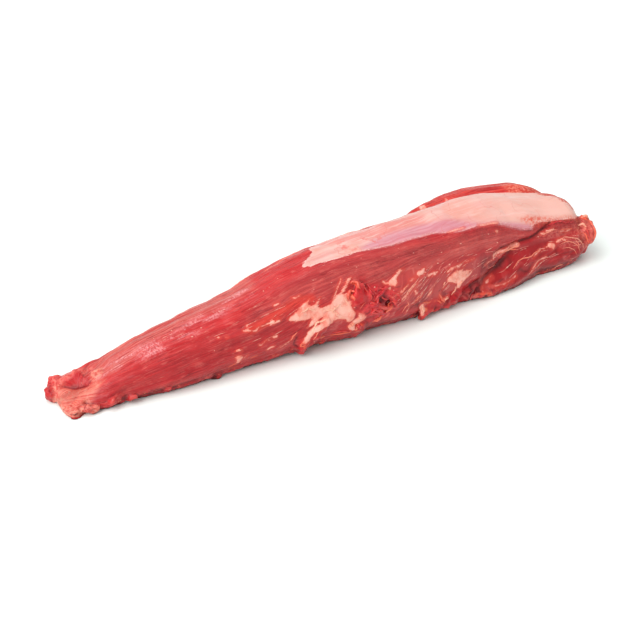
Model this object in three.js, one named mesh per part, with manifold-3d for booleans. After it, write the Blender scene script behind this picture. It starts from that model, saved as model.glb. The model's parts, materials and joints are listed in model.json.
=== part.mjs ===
// A whole raw beef tenderloin, lying on its flat underside.
// Millimetres, +Z up. +X runs from the thin tail to the thick butt, and -Y is the front.
// The origin is the middle of the footprint, on the surface that the meat lies on.
import * as THREE from "three";
import { mergeVertices } from "three/addons/utils/BufferGeometryUtils.js";
import Module from "manifold-3d";

const TURN = 2 * Math.PI;
const DEGREE = Math.PI / 180;

// Driving dimensions
// Where the middle of the footprint lies, measured in the frame of the stations below.
const MIDDLE = { x: 6.4, y: 25.4 };
const SINK = 7; // how far soft meat settles into the table below its round section
const MEAT_COLOUR = 0xb23a3f;
const MEAT_ROUGHNESS = 0.4;

// A muscle is a row of stations along X. Each gives the middle of its section in Y, the full
// width, the top and the bottom of the section, how far its top leans back for each millimetre
// of height (lean), and how much it rises for each millimetre towards the back (tilt).
const EYE = [
  { x: -258, y: -4, width: 34, top: 14, bottom: -2, lean: 0, tilt: 0.2 },
  { x: -240, y: -5, width: 42, top: 21, bottom: -5, lean: 0.1, tilt: 0.12 },
  { x: -215, y: -5, width: 49, top: 31, bottom: -SINK, lean: 0.15, tilt: 0.08 },
  { x: -165, y: -5, width: 58, top: 44.5, bottom: -SINK, lean: 0.15, tilt: 0 },
  { x: -100, y: -3, width: 68, top: 55, bottom: -SINK, lean: 0.15, tilt: 0 },
  { x: -35, y: 2, width: 81, top: 69, bottom: -SINK, lean: 0.12, tilt: 0 },
  { x: 40, y: 7, width: 91, top: 73, bottom: -SINK, lean: 0.1, tilt: 0 },
  { x: 110, y: 14, width: 90, top: 74, bottom: -SINK, lean: 0.08, tilt: 0 },
  { x: 180, y: 22, width: 82, top: 74, bottom: -SINK, lean: 0.05, tilt: 0 },
  { x: 235, y: 21, width: 72, top: 63, bottom: -SINK, lean: 0, tilt: 0 },
  { x: 281, y: 16, width: 58, top: 56, bottom: -4, lean: 0, tilt: 0 },
];

// The flat end of the tail, cut straight across, higher at the back than at the front.
const TAIL = [
  { x: -269, y: -3, width: 44, top: 8, bottom: 0, lean: 0, tilt: 0.2 },
  { x: -260, y: -3, width: 44, top: 10, bottom: -1, lean: 0, tilt: 0.22 },
  { x: -250, y: 0, width: 40, top: 14, bottom: -2, lean: 0, tilt: 0.22 },
  { x: -238, y: -1, width: 43, top: 19, bottom: -4, lean: 0, tilt: 0.2 },
  { x: -228, y: -3, width: 46, top: 24, bottom: -5, lean: 0, tilt: 0.18 },
  { x: -200, y: -4, width: 42, top: 28, bottom: -SINK, lean: 0, tilt: 0.06 },
];

// The side muscle that lies along the back of the butt.
const WING = [
  { x: 88, y: 52, width: 20, top: 48, bottom: 4, lean: 0.2, tilt: 0 },
  { x: 135, y: 60, width: 38, top: 57, bottom: -3, lean: 0.2, tilt: 0 },
  { x: 185, y: 65, width: 50, top: 60, bottom: -SINK, lean: 0.2, tilt: 0 },
  { x: 232, y: 60, width: 50, top: 58.5, bottom: -SINK, lean: 0.2, tilt: 0 },
  { x: 276, y: 43, width: 38, top: 57, bottom: 0, lean: 0.2, tilt: 0 },
];

// The muscle that wraps the front of the butt, below a deep cleft.
const FRONT = [
  { x: 106, y: -14, width: 26, top: 14, bottom: -SINK, lean: 0.3, tilt: 0 },
  { x: 148, y: -9, width: 44, top: 28, bottom: -SINK, lean: 0.3, tilt: 0 },
  { x: 190, y: 0, width: 54, top: 42, bottom: -SINK, lean: 0.3, tilt: 0 },
  { x: 235, y: 6, width: 52, top: 49, bottom: -SINK, lean: 0.3, tilt: 0 },
  { x: 285, y: 2, width: 48, top: 45, bottom: 0, lean: 0.2, tilt: 0 },
];

// Small lumps fused to the muscles: middle, full lengths along the lump's own axes, then its
// turn about Z (yaw) and how steeply its long axis climbs (pitch), in degrees.
const FLAPS = {
  tailCorner: { at: [-259, -16, 4], size: [18, 25, 7], yaw: -30, pitch: 0 },
  tailLip: { at: [-256, 14, 12], size: [22, 13, 8], yaw: -10, pitch: 10 },
  tailHorn: { at: [-260, 20, 11], size: [16, 8, 7], yaw: -30, pitch: 0 },
  tailNub: { at: [-269, 10, 5], size: [11, 13, 11], yaw: 20, pitch: 0 },
  foldLip: { at: [-246, 10, 16], size: [34, 13, 11], yaw: -24, pitch: 12 },
  tailFat: { at: [-233, -4, 20], size: [18, 11, 10], yaw: 0, pitch: 30 },
  tailTag: { at: [-246, -23, 5], size: [18, 10, 9], yaw: 30, pitch: 0 },
  tailScrap: { at: [-225, -27, 7], size: [18, 8, 8], yaw: 8, pitch: 0 },
  rolledFlap: { at: [-43, -37, 22], size: [30, 12, 14], yaw: 0, pitch: 52 },
  flapEnd: { at: [-53, -34, 13], size: [15, 13, 17], yaw: 0, pitch: -20 },
  ovalMuscle: { at: [4, -33, 42], size: [22, 14, 32], yaw: 0, pitch: 0 },
  creamTag: { at: [80, -29, 10], size: [26, 12, 14], yaw: 20, pitch: 25 },
  middleTag: { at: [96, -27, 10], size: [24, 12, 13], yaw: 0, pitch: 15 },
  redTag: { at: [110, -27, 10], size: [22, 13, 15], yaw: 10, pitch: 30 },
  curledEnd: { at: [3, -37, 14], size: [10, 8, 10], yaw: 0, pitch: 0 },
  fattyRim: { at: [140, -31, 6], size: [26, 9, 8], yaw: 5, pitch: 0 },
  buttKnob: { at: [276, -8, 24], size: [18, 25, 42], yaw: 15, pitch: 0 },
  buttNub: { at: [276, -6, 38], size: [14, 16, 12], yaw: 0, pitch: 0 },
  buttCorner: { at: [261, 1, 17], size: [44, 38, 32], yaw: 25, pitch: 0 },
  tailBridge: { at: [-264, 15, 8], size: [13, 9, 9], yaw: 0, pitch: 0 },
};

// Hollows: the fold of the tail, and the tear halfway along the front.
const HOLLOWS = {
  tailFold: { at: [-248, 3, 15], size: [24, 5, 8], yaw: -14, pitch: 4 },
  tear: { at: [29, -40, 35], size: [12, 11, 10], yaw: 0, pitch: 20 },
};

// Ragged trimmings along the front edge of the underside.
const RAG = { from: -232, to: 150, count: 17, y: -23, length: 24, thick: 8, seed: 7 };

// The smooth value of one dimension at x, on a curve through the stations.
function along(stations, key, x) {
  const last = stations.length - 1;
  const slope = (i) => {
    const a = stations[Math.max(i - 1, 0)];
    const b = stations[Math.min(i + 1, last)];
    return (b[key] - a[key]) / (b.x - a.x);
  };
  let i = 0;
  while (i < last - 1 && x > stations[i + 1].x) i += 1;
  const [a, b] = [stations[i], stations[i + 1]];
  const span = b.x - a.x;
  const t = Math.min(Math.max((x - a.x) / span, 0), 1);
  const rise = b[key] - a[key];
  const level = a[key] + rise * t * t * (3 - 2 * t);
  return level + span * t * (1 - t) * (slope(i) * (1 - t) - slope(i + 1) * t);
}

// Long bundles of fibre: shallow ridges that run with the muscle and drift slowly round it.
function bundles(x, turn) {
  return (
    0.5 * Math.sin(7 * turn + x / 60) +
    0.4 * Math.sin(11 * turn - x / 85 + 1.3) +
    0.3 * Math.sin(17 * turn + x / 48 + 2.1)
  );
}

// One point of a muscle's skin. closing is 1, and falls to 0 where the end closes.
function skinPoint(stations, x, turn, closing, square) {
  const at = (key) => along(stations, key, x);
  const halfHeight = (at("top") - at("bottom")) / 2;
  const round = (v) => Math.sign(v) * Math.abs(v) ** (2 / square);
  const swell = (1 + bundles(x, turn) / halfHeight) * closing;
  const up = halfHeight * round(Math.sin(turn)) * swell;
  const out = (-at("width") / 2) * round(Math.cos(turn)) * swell;
  return [
    x,
    at("y") + out + at("lean") * up,
    at("bottom") + halfHeight + up + at("tilt") * out,
  ];
}

// A closed muscle lofted through its stations, round over the last cap millimetres of each end.
function muscle(stations, { rings, sides, tailCap, buttCap, square = 2.3 }) {
  const first = stations[0].x;
  const last = stations[stations.length - 1].x;
  const points = [];
  for (let i = 0; i <= rings; i += 1) {
    // Rings crowd towards both ends, where the section closes.
    const share = i / rings - Math.sin((TURN * i) / rings) / (TURN * 1.4);
    const x = first + (last - first) * share;
    const fromEnd = Math.min((x - first) / tailCap, (last - x) / buttCap, 1);
    const closing = Math.sqrt(Math.max(1 - (1 - fromEnd) ** 2, 0));
    for (let j = 0; j < sides; j += 1)
      points.push(...skinPoint(stations, x, (TURN * j) / sides, closing, square));
  }
  return rows(points, rings, sides);
}

// Triangles between rings of points.
function rows(points, rings, sides) {
  const index = [];
  for (let i = 0; i < rings; i += 1)
    for (let j = 0; j < sides; j += 1) {
      const [a, b] = [i * sides + j, i * sides + ((j + 1) % sides)];
      index.push(a, b + sides, b, a, a + sides, b + sides);
    }
  const geometry = new THREE.BufferGeometry();
  geometry.setAttribute("position", new THREE.Float32BufferAttribute(points, 3));
  geometry.setIndex(index);
  return geometry;
}

// An uneven lump of meat. Its surface waves by a share of its size.
function lump({ at, size, yaw, pitch }, phase = 0, waves = 0.12, detail = [14, 9]) {
  const geometry = new THREE.SphereGeometry(0.5, ...detail);
  const place = geometry.attributes.position;
  for (let i = 0; i < place.count; i += 1) {
    const [x, y, z] = [place.getX(i), place.getY(i), place.getZ(i)];
    const wave = Math.sin(7 * x + phase) * Math.cos(6 * y - phase) + Math.sin(9 * z + 2 * phase);
    const k = 1 + waves * wave;
    place.setXYZ(i, x * k, y * k, z * k);
  }
  geometry.scale(...size);
  geometry.rotateY(-pitch * DEGREE);
  geometry.rotateZ(yaw * DEGREE);
  return geometry.translate(...at);
}

// Numbers from 0 to 1 that look random and are the same every time.
function seeded(seed) {
  let state = seed;
  return () => {
    state = (state * 16807) % 2147483647;
    return state / 2147483647;
  };
}

// The trimmings, as a row of flat lumps with uneven spaces, sizes and turns.
function rags() {
  const random = seeded(RAG.seed);
  const step = (RAG.to - RAG.from) / (RAG.count - 1);
  const made = [];
  for (let i = 0; i < RAG.count; i += 1) {
    const x = RAG.from + step * (i + 0.7 * (random() - 0.5));
    const scale = 0.7 + 0.6 * random();
    const y = RAG.y - 3 * random();
    const length = RAG.length * scale;
    const thick = RAG.thick * (0.8 + 0.5 * random());
    const shape = {
      at: [x, y, 0.42 * thick],
      size: [length, 1.5 * thick, thick],
      yaw: 50 * (random() - 0.5),
      pitch: 16 * (random() - 0.5),
    };
    made.push(lump(shape, i, 0.14, [10, 7]));
  }
  return made;
}

const wasm = await Module();
wasm.setup();

// A closed geometry as a solid for joining and cutting.
function solid(geometry) {
  const bare = geometry.clone();
  bare.deleteAttribute("normal");
  bare.deleteAttribute("uv");
  const merged = mergeVertices(bare, 1e-3);
  const index = merged.index.array;
  const kept = [];
  for (let i = 0; i < index.length; i += 3) {
    const [a, b, c] = [index[i], index[i + 1], index[i + 2]];
    if (a !== b && b !== c && c !== a) kept.push(a, b, c);
  }
  return new wasm.Manifold(
    new wasm.Mesh({
      numProp: 3,
      vertProperties: merged.attributes.position.array,
      triVerts: new Uint32Array(kept),
    }),
  );
}

// The vertices and triangles of a solid as a geometry.
function geometryOf(body) {
  const mesh = body.getMesh();
  const geometry = new THREE.BufferGeometry();
  const vertices = new Float32Array(mesh.vertProperties);
  geometry.setAttribute("position", new THREE.BufferAttribute(vertices, 3));
  geometry.setIndex(new THREE.BufferAttribute(new Uint32Array(mesh.triVerts), 1));
  geometry.computeVertexNormals();
  return geometry;
}

// All muscles, lumps and trimmings as one piece of meat, flat where it lies on the table.
function tenderloin() {
  const muscles = [
    muscle(EYE, { rings: 80, sides: 38, tailCap: 30, buttCap: 22, square: 2.35 }),
    muscle(TAIL, { rings: 18, sides: 26, tailCap: 5, buttCap: 12, square: 2.8 }),
    muscle(WING, { rings: 26, sides: 18, tailCap: 45, buttCap: 34 }),
    muscle(FRONT, { rings: 28, sides: 20, tailCap: 34, buttCap: 28 }),
  ];
  const lumps = Object.values(FLAPS).map((flap, i) => lump(flap, i));
  const [first, ...others] = [...muscles, ...lumps, ...rags()].map(solid);
  const joined = others.reduce((body, other) => body.add(other), first);
  const hollows = Object.values(HOLLOWS).map((hollow) => solid(lump(hollow, 3)));
  const table = solid(new THREE.BoxGeometry(800, 400, 100).translate(0, 0, -50));
  const cut = [...hollows, table].reduce((body, other) => body.subtract(other), joined);
  // A scrap that the cuts left loose is dropped.
  const bySize = cut.decompose().sort((a, b) => b.volume() - a.volume());
  return bySize[0];
}

const meat = new THREE.Mesh(
  geometryOf(tenderloin()).translate(-MIDDLE.x, -MIDDLE.y, 0),
  new THREE.MeshStandardMaterial({
    color: MEAT_COLOUR,
    roughness: MEAT_ROUGHNESS,
    metalness: 0,
  }),
);
meat.name = "tenderloin";

const part = new THREE.Group();
part.add(meat);

export default part;
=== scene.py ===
# %% [markdown]
# A whole raw beef tenderloin
#
# A tenderloin is one long muscle. It tapers from a thick butt to a thin tail. A silvery sheet
# of connective tissue, the silverskin, still covers part of its top. A smaller muscle lies
# along the back of the butt, and another wraps its front below a deep cleft. The knife has
# left fat patches and ragged trimmings along the lower edge.
#
# The meat is one piece, so it is made as one skin: the muscles are lofted, fused by a voxel
# remesh, carved, and then given fibre relief and colour zones. Work is in millimetres, in the
# frame of the muscles' own stations, and is moved and scaled to metres at the end.

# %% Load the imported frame
import json
import math

import bpy
import numpy as np
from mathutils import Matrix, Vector, noise
from mathutils.bvhtree import BVHTree

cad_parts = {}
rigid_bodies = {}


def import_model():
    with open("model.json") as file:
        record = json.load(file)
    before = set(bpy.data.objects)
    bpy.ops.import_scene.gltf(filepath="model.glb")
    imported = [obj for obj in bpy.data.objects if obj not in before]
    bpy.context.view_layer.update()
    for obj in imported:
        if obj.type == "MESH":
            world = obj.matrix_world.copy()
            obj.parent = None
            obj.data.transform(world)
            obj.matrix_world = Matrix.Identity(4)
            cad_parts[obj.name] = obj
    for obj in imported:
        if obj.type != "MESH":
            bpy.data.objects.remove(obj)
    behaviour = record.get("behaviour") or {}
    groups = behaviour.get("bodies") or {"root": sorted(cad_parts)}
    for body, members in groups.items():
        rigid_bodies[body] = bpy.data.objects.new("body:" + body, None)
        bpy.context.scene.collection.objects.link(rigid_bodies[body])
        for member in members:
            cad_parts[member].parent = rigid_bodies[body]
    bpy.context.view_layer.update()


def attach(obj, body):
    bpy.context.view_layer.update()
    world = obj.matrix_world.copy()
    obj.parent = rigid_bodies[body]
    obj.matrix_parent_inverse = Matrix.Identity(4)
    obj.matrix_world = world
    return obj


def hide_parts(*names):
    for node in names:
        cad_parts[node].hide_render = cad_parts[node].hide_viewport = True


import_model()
MM = 0.001

# %% [markdown]
# The camera
#
# The photograph looks down at the meat by 30 degrees, from the front and a little towards the
# tail, through a long lens. The camera could be placed by eye, but here its distance and
# target come from matching the outline of the solid to the outline in the photograph.

# %% Camera
VIEW_AZIMUTH = math.radians(-30)
VIEW_ELEVATION = math.radians(30)
VIEW_DISTANCE = 1360 * MM
VIEW_TARGET = Vector((-23.9, -27.9, 11)) * MM

towards_camera = Vector((
    math.sin(VIEW_AZIMUTH) * math.cos(VIEW_ELEVATION),
    -math.cos(VIEW_AZIMUTH) * math.cos(VIEW_ELEVATION),
    math.sin(VIEW_ELEVATION),
))
camera_data = bpy.data.cameras.new("camera")
camera_data.lens = 85
camera_data.sensor_width = 36
camera_data.clip_end = 50
camera = bpy.data.objects.new("camera", camera_data)
camera.location = VIEW_TARGET + towards_camera * VIEW_DISTANCE
camera.rotation_euler = towards_camera.to_track_quat("Z", "Y").to_euler()
bpy.context.scene.collection.objects.link(camera)
bpy.context.scene.camera = camera
print("camera at", [round(c, 3) for c in camera.location])

# %% [markdown]
# The muscles
#
# A muscle swells and narrows along its length, so it is described by stations: at each one,
# the middle, width, top and bottom of its section, how far the top leans back, and how much
# the section rises towards the back. Sculpting would also do, but stations keep every size
# readable, and they are the same ones that the CAD solid is made from.

# %% Stations of the muscles, in millimetres
MIDDLE = (6.4, 25.4)  # where the middle of the footprint lies in this frame
SINK = 7  # how far soft meat settles below its round section
KEYS = ("x", "y", "width", "top", "bottom", "lean", "tilt")
EYE = np.array([
    # the main muscle, from the tail to the butt
    (-258, -4, 34, 14, -2, 0, 0.2),
    (-240, -5, 42, 21, -5, 0.1, 0.12),
    (-215, -5, 49, 31, -SINK, 0.15, 0.08),
    (-165, -5, 58, 44.5, -SINK, 0.15, 0),
    (-100, -3, 68, 55, -SINK, 0.15, 0),
    (-35, 2, 81, 69, -SINK, 0.12, 0),
    (40, 7, 91, 73, -SINK, 0.1, 0),
    (110, 14, 90, 74, -SINK, 0.08, 0),
    (180, 22, 82, 74, -SINK, 0.05, 0),
    (235, 21, 72, 63, -SINK, 0, 0),
    (281, 16, 58, 56, -4, 0, 0),
])
TAIL = np.array([
    # the flat cut end of the tail
    (-269, -3, 44, 8, 0, 0, 0.2),
    (-260, -3, 44, 10, -1, 0, 0.22),
    (-250, 0, 40, 14, -2, 0, 0.22),
    (-238, -1, 43, 19, -4, 0, 0.2),
    (-228, -3, 46, 24, -5, 0, 0.18),
    (-200, -4, 42, 28, -SINK, 0, 0.06),
])
WING = np.array([
    # the side muscle along the back of the butt
    (88, 52, 20, 48, 4, 0.2, 0),
    (135, 60, 38, 57, -3, 0.2, 0),
    (185, 65, 50, 60, -SINK, 0.2, 0),
    (232, 60, 50, 58.5, -SINK, 0.2, 0),
    (276, 43, 38, 57, 0, 0.2, 0),
])
FRONT = np.array([
    # the lobe that wraps the front of the butt
    (106, -14, 26, 14, -SINK, 0.3, 0),
    (148, -9, 44, 28, -SINK, 0.3, 0),
    (190, 0, 54, 42, -SINK, 0.3, 0),
    (235, 6, 52, 49, -SINK, 0.3, 0),
    (285, 2, 48, 45, 0, 0.2, 0),
])


def along(stations, key, x):
    """One dimension of a muscle at x, on a smooth curve through its stations."""
    places = stations[:, 0]
    values = stations[:, KEYS.index(key)]
    before = np.maximum(np.arange(len(places)) - 1, 0)
    after = np.minimum(np.arange(len(places)) + 1, len(places) - 1)
    slopes = (values[after] - values[before]) / (places[after] - places[before])
    i = np.clip(np.searchsorted(places, x, side="right") - 1, 0, len(places) - 2)
    span = places[i + 1] - places[i]
    t = np.clip((x - places[i]) / span, 0, 1)
    level = values[i] + (values[i + 1] - values[i]) * t * t * (3 - 2 * t)
    return level + span * t * (1 - t) * (slopes[i] * (1 - t) - slopes[i + 1] * t)


def skin(stations, x, turn, closing=1.0, square=2.3):
    """Points of a muscle's surface. Turn is 0 at the front and a quarter turn at the top."""
    half_height = (along(stations, "top", x) - along(stations, "bottom", x)) / 2
    bundles = 0.5 * np.sin(7 * turn + x / 60) + 0.4 * np.sin(11 * turn - x / 85 + 1.3)
    bundles = bundles + 0.3 * np.sin(17 * turn + x / 48 + 2.1)
    swell = (1 + bundles / half_height) * closing
    rounded = [np.sign(v) * np.abs(v) ** (2 / square) for v in (np.sin(turn), np.cos(turn))]
    up = half_height * rounded[0] * swell
    out = -along(stations, "width", x) / 2 * rounded[1] * swell
    y = along(stations, "y", x) + out + along(stations, "lean", x) * up
    z = along(stations, "bottom", x) + half_height + up + along(stations, "tilt", x) * out
    return np.stack(np.broadcast_arrays(x, y, z), -1)


def muscle(stations, rings, sides, tail_cap, butt_cap, square=2.3):
    """A closed loft: rings of points, and the four-sided faces between them."""
    share = np.linspace(0, 1, rings + 1)
    share = share - np.sin(math.tau * share) / (math.tau * 1.4)  # closer rings at the ends
    first, last = stations[0, 0], stations[-1, 0]
    x = (first + (last - first) * share)[:, None]
    from_end = np.minimum(np.minimum((x - first) / tail_cap, (last - x) / butt_cap), 1)
    closing = np.sqrt(np.maximum(1 - (1 - from_end) ** 2, 1e-6))
    turn = np.linspace(0, math.tau, sides, endpoint=False)[None, :]
    points = skin(stations, x, turn, closing, square).reshape(-1, 3)
    ring, side = np.meshgrid(np.arange(rings), np.arange(sides), indexing="ij")
    a = ring * sides + side
    b = ring * sides + (side + 1) % sides
    faces = np.stack([a, a + sides, b + sides, b], -1).reshape(-1, 4)
    caps = [list(range(sides)), list(range(rings * sides, (rings + 1) * sides))[::-1]]
    return points, faces.tolist() + caps


muscles = [
    muscle(EYE, rings=260, sides=120, tail_cap=30, butt_cap=22, square=2.35),
    muscle(TAIL, rings=60, sides=80, tail_cap=5, butt_cap=12, square=2.8),
    muscle(WING, rings=90, sides=70, tail_cap=45, butt_cap=34),
    muscle(FRONT, rings=90, sides=70, tail_cap=34, butt_cap=28),
]
print("muscles:", len(muscles), "with", sum(len(m[0]) for m in muscles), "points")

# %% [markdown]
# Flaps
#
# The butcher's knife leaves small lumps that belong to the same piece of meat: a pale flap, a
# lip and a nub at the tail, a rolled flap at the front, an oval muscle end beside the torn
# hole, hanging tags, and a knob on the butt. Each is an uneven egg of meat, placed and turned
# as listed and crumpled by noise, and the remesh below grows them all together. They could be
# sculpted, but as a short list they stay easy to move. The noise has a fixed seed, because
# it starts from the clock otherwise, and every run would crumple them in another way.

# %% Lumps of meat
FLAPS = {
    # middle and size in millimetres, then yaw and pitch in degrees
    "tail_corner": ((-259, -16, 4), (18, 25, 7), -30, 0),
    "tail_lip": ((-256, 14, 12), (22, 13, 8), -10, 10),
    "tail_horn": ((-260, 20, 11), (16, 8, 7), -30, 0),
    "tail_nub": ((-269, 10, 5), (11, 13, 11), 20, 0),
    "fold_lip": ((-246, 10, 16), (34, 13, 11), -24, 12),
    "tail_fat": ((-233, -4, 20), (18, 11, 10), 0, 30),
    "tail_tag": ((-246, -23, 4), (17, 10, 7), 30, 0),
    "tail_scrap": ((-225, -27, 7), (18, 8, 8), 8, 0),
    "rolled_flap": ((-43, -37, 22), (30, 12, 14), 0, 52),
    "flap_end": ((-53, -35, 12), (15, 14, 19), 0, -20),
    "oval_muscle": ((4, -33, 42), (22, 14, 32), 0, 0),
    "cream_tag": ((80, -29, 10), (26, 12, 14), 20, 25),
    "middle_tag": ((96, -27, 10), (24, 12, 13), 0, 15),
    "red_tag": ((110, -27, 10), (22, 13, 15), 10, 30),
    "curled_end": ((3, -37, 14), (10, 8, 10), 0, 0),
    "fatty_rim": ((140, -31, 6), (26, 9, 8), 5, 0),
    "butt_knob": ((276, -8, 24), (18, 25, 42), 15, 0),
    "butt_nub": ((276, -6, 38), (14, 16, 12), 0, 0),
    "butt_corner": ((261, 1, 17), (44, 38, 32), 25, 0),
    "tail_bridge": ((-264, 15, 8), (13, 9, 9), 0, 0),
}


def turned(points, yaw, pitch):
    """Points turned so that their long axis climbs by pitch and then swings by yaw degrees."""
    p, q = math.radians(pitch), math.radians(yaw)
    climb = np.array([[math.cos(p), 0, -math.sin(p)], [0, 1, 0], [math.sin(p), 0, math.cos(p)]])
    swing = np.array([[math.cos(q), -math.sin(q), 0], [math.sin(q), math.cos(q), 0], [0, 0, 1]])
    return points @ (swing @ climb).T


CRUMPLE_DETAIL = 0.22  # waves of the noise for each millimetre
CRUMPLE_DEPTH = 2.4


def lump(at, size, yaw, pitch, phase=0.0, waves=0.12, rows=26, sides=40):
    """An uneven egg. Its surface waves by a share of its size and is crumpled by noise."""
    tilt = np.linspace(0, math.pi, rows + 1)[1:-1, None]
    turn = np.linspace(0, math.tau, sides, endpoint=False)[None, :]
    ball = np.stack([np.sin(tilt) * np.cos(turn), np.sin(tilt) * np.sin(turn),
                     np.cos(tilt) * np.ones_like(turn)], -1).reshape(-1, 3) / 2
    ball = np.vstack([ball, [[0, 0, 0.5], [0, 0, -0.5]]])
    x, y, z = ball.T
    wave = np.sin(7 * x + phase) * np.cos(6 * y - phase) + np.sin(9 * z + 2 * phase)
    ball = ball * (1 + waves * wave)[:, None] * np.array(size)
    top, bottom = len(ball) - 2, len(ball) - 1
    faces = []
    for side in range(sides):
        following = (side + 1) % sides
        faces.append([top, side, following])
        faces.append([bottom, (rows - 2) * sides + following, (rows - 2) * sides + side])
        for row in range(rows - 2):
            a, b = row * sides + side, row * sides + following
            faces.append([a, a + sides, b + sides, b])
    points = turned(ball, yaw, pitch) + np.array(at)
    crumple = [noise.noise_vector(Vector(p) * CRUMPLE_DETAIL) * CRUMPLE_DEPTH for p in points]
    return points + np.array(crumple), faces


CRUMPLE_SEED = 4
noise.seed_set(CRUMPLE_SEED)
lumps = [lump(*flap, phase=i) for i, flap in enumerate(FLAPS.values())]
print("flaps:", len(lumps))

# %% [markdown]
# Materials and node helpers
#
# Three finishes are needed: the raw beef, the pale tissue of loose fat and sinew, and the torn
# muscle round the hole. The first two are named here so that the geometry trees can hand them
# on, and their nodes are filled in later. The third is made with the torn strands.
#
# Geometry and shader trees could be wired up by hand in the editor. Here both are built in
# code, so that every number can be read. One helper adds a node, sets its options, and fills
# each input with a plain value or another node's output. Sums, products, ramps and stretched
# noise come up again and again, so each has a short helper too, for both kinds of tree.

# %% Node helpers
beef = bpy.data.materials.new("raw_beef")
tissue = bpy.data.materials.new("pale_tissue")


def make(tree, kind, inputs=None, **options):
    """Adds a node. An input is a plain value or another node's output socket."""
    node = tree.nodes.new(kind)
    for key, value in options.items():
        setattr(node, key, value)
    for key, value in (inputs or {}).items():
        if isinstance(value, bpy.types.NodeSocket):
            tree.links.new(value, node.inputs[key])
        else:
            node.inputs[key].default_value = value
    return node


def maths(tree, operation, a, b=0.0):
    """The output of a Math node."""
    return make(tree, "ShaderNodeMath", {0: a, 1: b}, operation=operation).outputs[0]


def vector_maths(tree, operation, a, b=(0.0, 0.0, 0.0)):
    """The output of a Vector Math node. Scale takes a number as b."""
    key = "Scale" if operation == "SCALE" else 1
    return make(tree, "ShaderNodeVectorMath", {0: a, key: b}, operation=operation).outputs[0]


def product(tree, *values):
    """Several values multiplied together."""
    result = values[0]
    for value in values[1:]:
        result = maths(tree, "MULTIPLY", result, value)
    return result


def total(tree, *values):
    """Several values added together."""
    result = values[0]
    for value in values[1:]:
        result = maths(tree, "ADD", result, value)
    return result


def ramp(tree, value, low, high, to_low=0.0, to_high=1.0, how="SMOOTHSTEP"):
    """A step from to_low to to_high as the value goes from low to high, soft or linear."""
    return make(tree, "ShaderNodeMapRange", {
        "Value": value, "From Min": low, "From Max": high, "To Min": to_low, "To Max": to_high,
    }, interpolation_type=how).outputs[0]


def streaky(tree, vector, stretch, detail=3.0, roughness=0.5):
    """Noise between 0 and 1, stretched along the axes of a vector."""
    place = vector_maths(tree, "MULTIPLY", vector, stretch)
    return make(tree, "ShaderNodeTexNoise", {
        "Vector": place, "Scale": 1.0, "Detail": detail, "Roughness": roughness}).outputs[0]


def wave_noise(tree, vector, stretch, detail):
    """Noise between -0.5 and 0.5, stretched along the axes of a vector."""
    return maths(tree, "SUBTRACT", streaky(tree, vector, stretch, detail), 0.5)


def geometry_tree(name, inputs):
    """A Geometry Nodes tree with a geometry input and output, and named inputs for its sizes."""
    tree = bpy.data.node_groups.new(name, "GeometryNodeTree")
    tree.interface.new_socket("Geometry", in_out="INPUT", socket_type="NodeSocketGeometry")
    for label, (kind, value) in inputs.items():
        socket = tree.interface.new_socket(label, in_out="INPUT", socket_type="NodeSocket" + kind)
        socket.default_value = value
    tree.interface.new_socket("Geometry", in_out="OUTPUT", socket_type="NodeSocketGeometry")
    return tree, tree.nodes.new("NodeGroupInput").outputs


def finish_tree(tree, geometry, material):
    """Ends a tree: instances become real, and the geometry gets its material."""
    real = make(tree, "GeometryNodeRealizeInstances", {"Geometry": geometry})
    coated = make(tree, "GeometryNodeSetMaterial", {
        "Geometry": real.outputs[0], "Material": material})
    tree.links.new(coated.outputs[0], tree.nodes.new("NodeGroupOutput").inputs["Geometry"])


def evaluated_mesh(piece):
    """The plain mesh that an object's modifiers make."""
    depsgraph = bpy.context.evaluated_depsgraph_get()
    return bpy.data.meshes.new_from_object(
        piece.evaluated_get(depsgraph), preserve_all_data_layers=True, depsgraph=depsgraph)


def grown(piece, tree, values):
    """The plain mesh that a tree makes from a piece, with the tree's inputs set by identifier."""
    modifier = piece.modifiers.new(tree.name, "NODES")
    modifier.node_group = tree
    inputs = {item.name: item for item in tree.interface.items_tree if item.in_out == "INPUT"}
    for label, value in values.items():
        modifier[inputs[label].identifier] = value
    mesh = evaluated_mesh(piece)
    piece.modifiers.remove(modifier)
    return mesh


def show(name, mesh):
    """An object for a mesh, linked into the scene."""
    piece = bpy.data.objects.new(name, mesh)
    bpy.context.scene.collection.objects.link(piece)
    return piece


def discard(piece):
    """Removes a working object that isn't part of the finished scene."""
    bpy.data.objects.remove(piece)


def path_object(name, chains):
    """An object with only points and edges: one run of edges for each chain of points."""
    points = [tuple(p) for chain in chains for p in chain]
    edges, first = [], 0
    for chain in chains:
        edges += [(first + i, first + i + 1) for i in range(len(chain) - 1)]
        first += len(chain)
    mesh = bpy.data.meshes.new(name)
    mesh.from_pydata(points, edges, [])
    return show(name, mesh)


# %% [markdown]
# Ragged trimmings along the lower edge
#
# Where the meat meets the table, its front edge is fringed with scraps that the knife left
# hanging. They repeat along a path with uneven sizes and turns, so Geometry Nodes places
# them: scraps on evenly spaced points of the path, each turned, stretched and crumpled at
# random. A coarse row and a fine row overlap, and both leave out the rolled flap and the
# clean cut below the tear. They go into the same remesh, so each scrap grows out of the meat.

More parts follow.
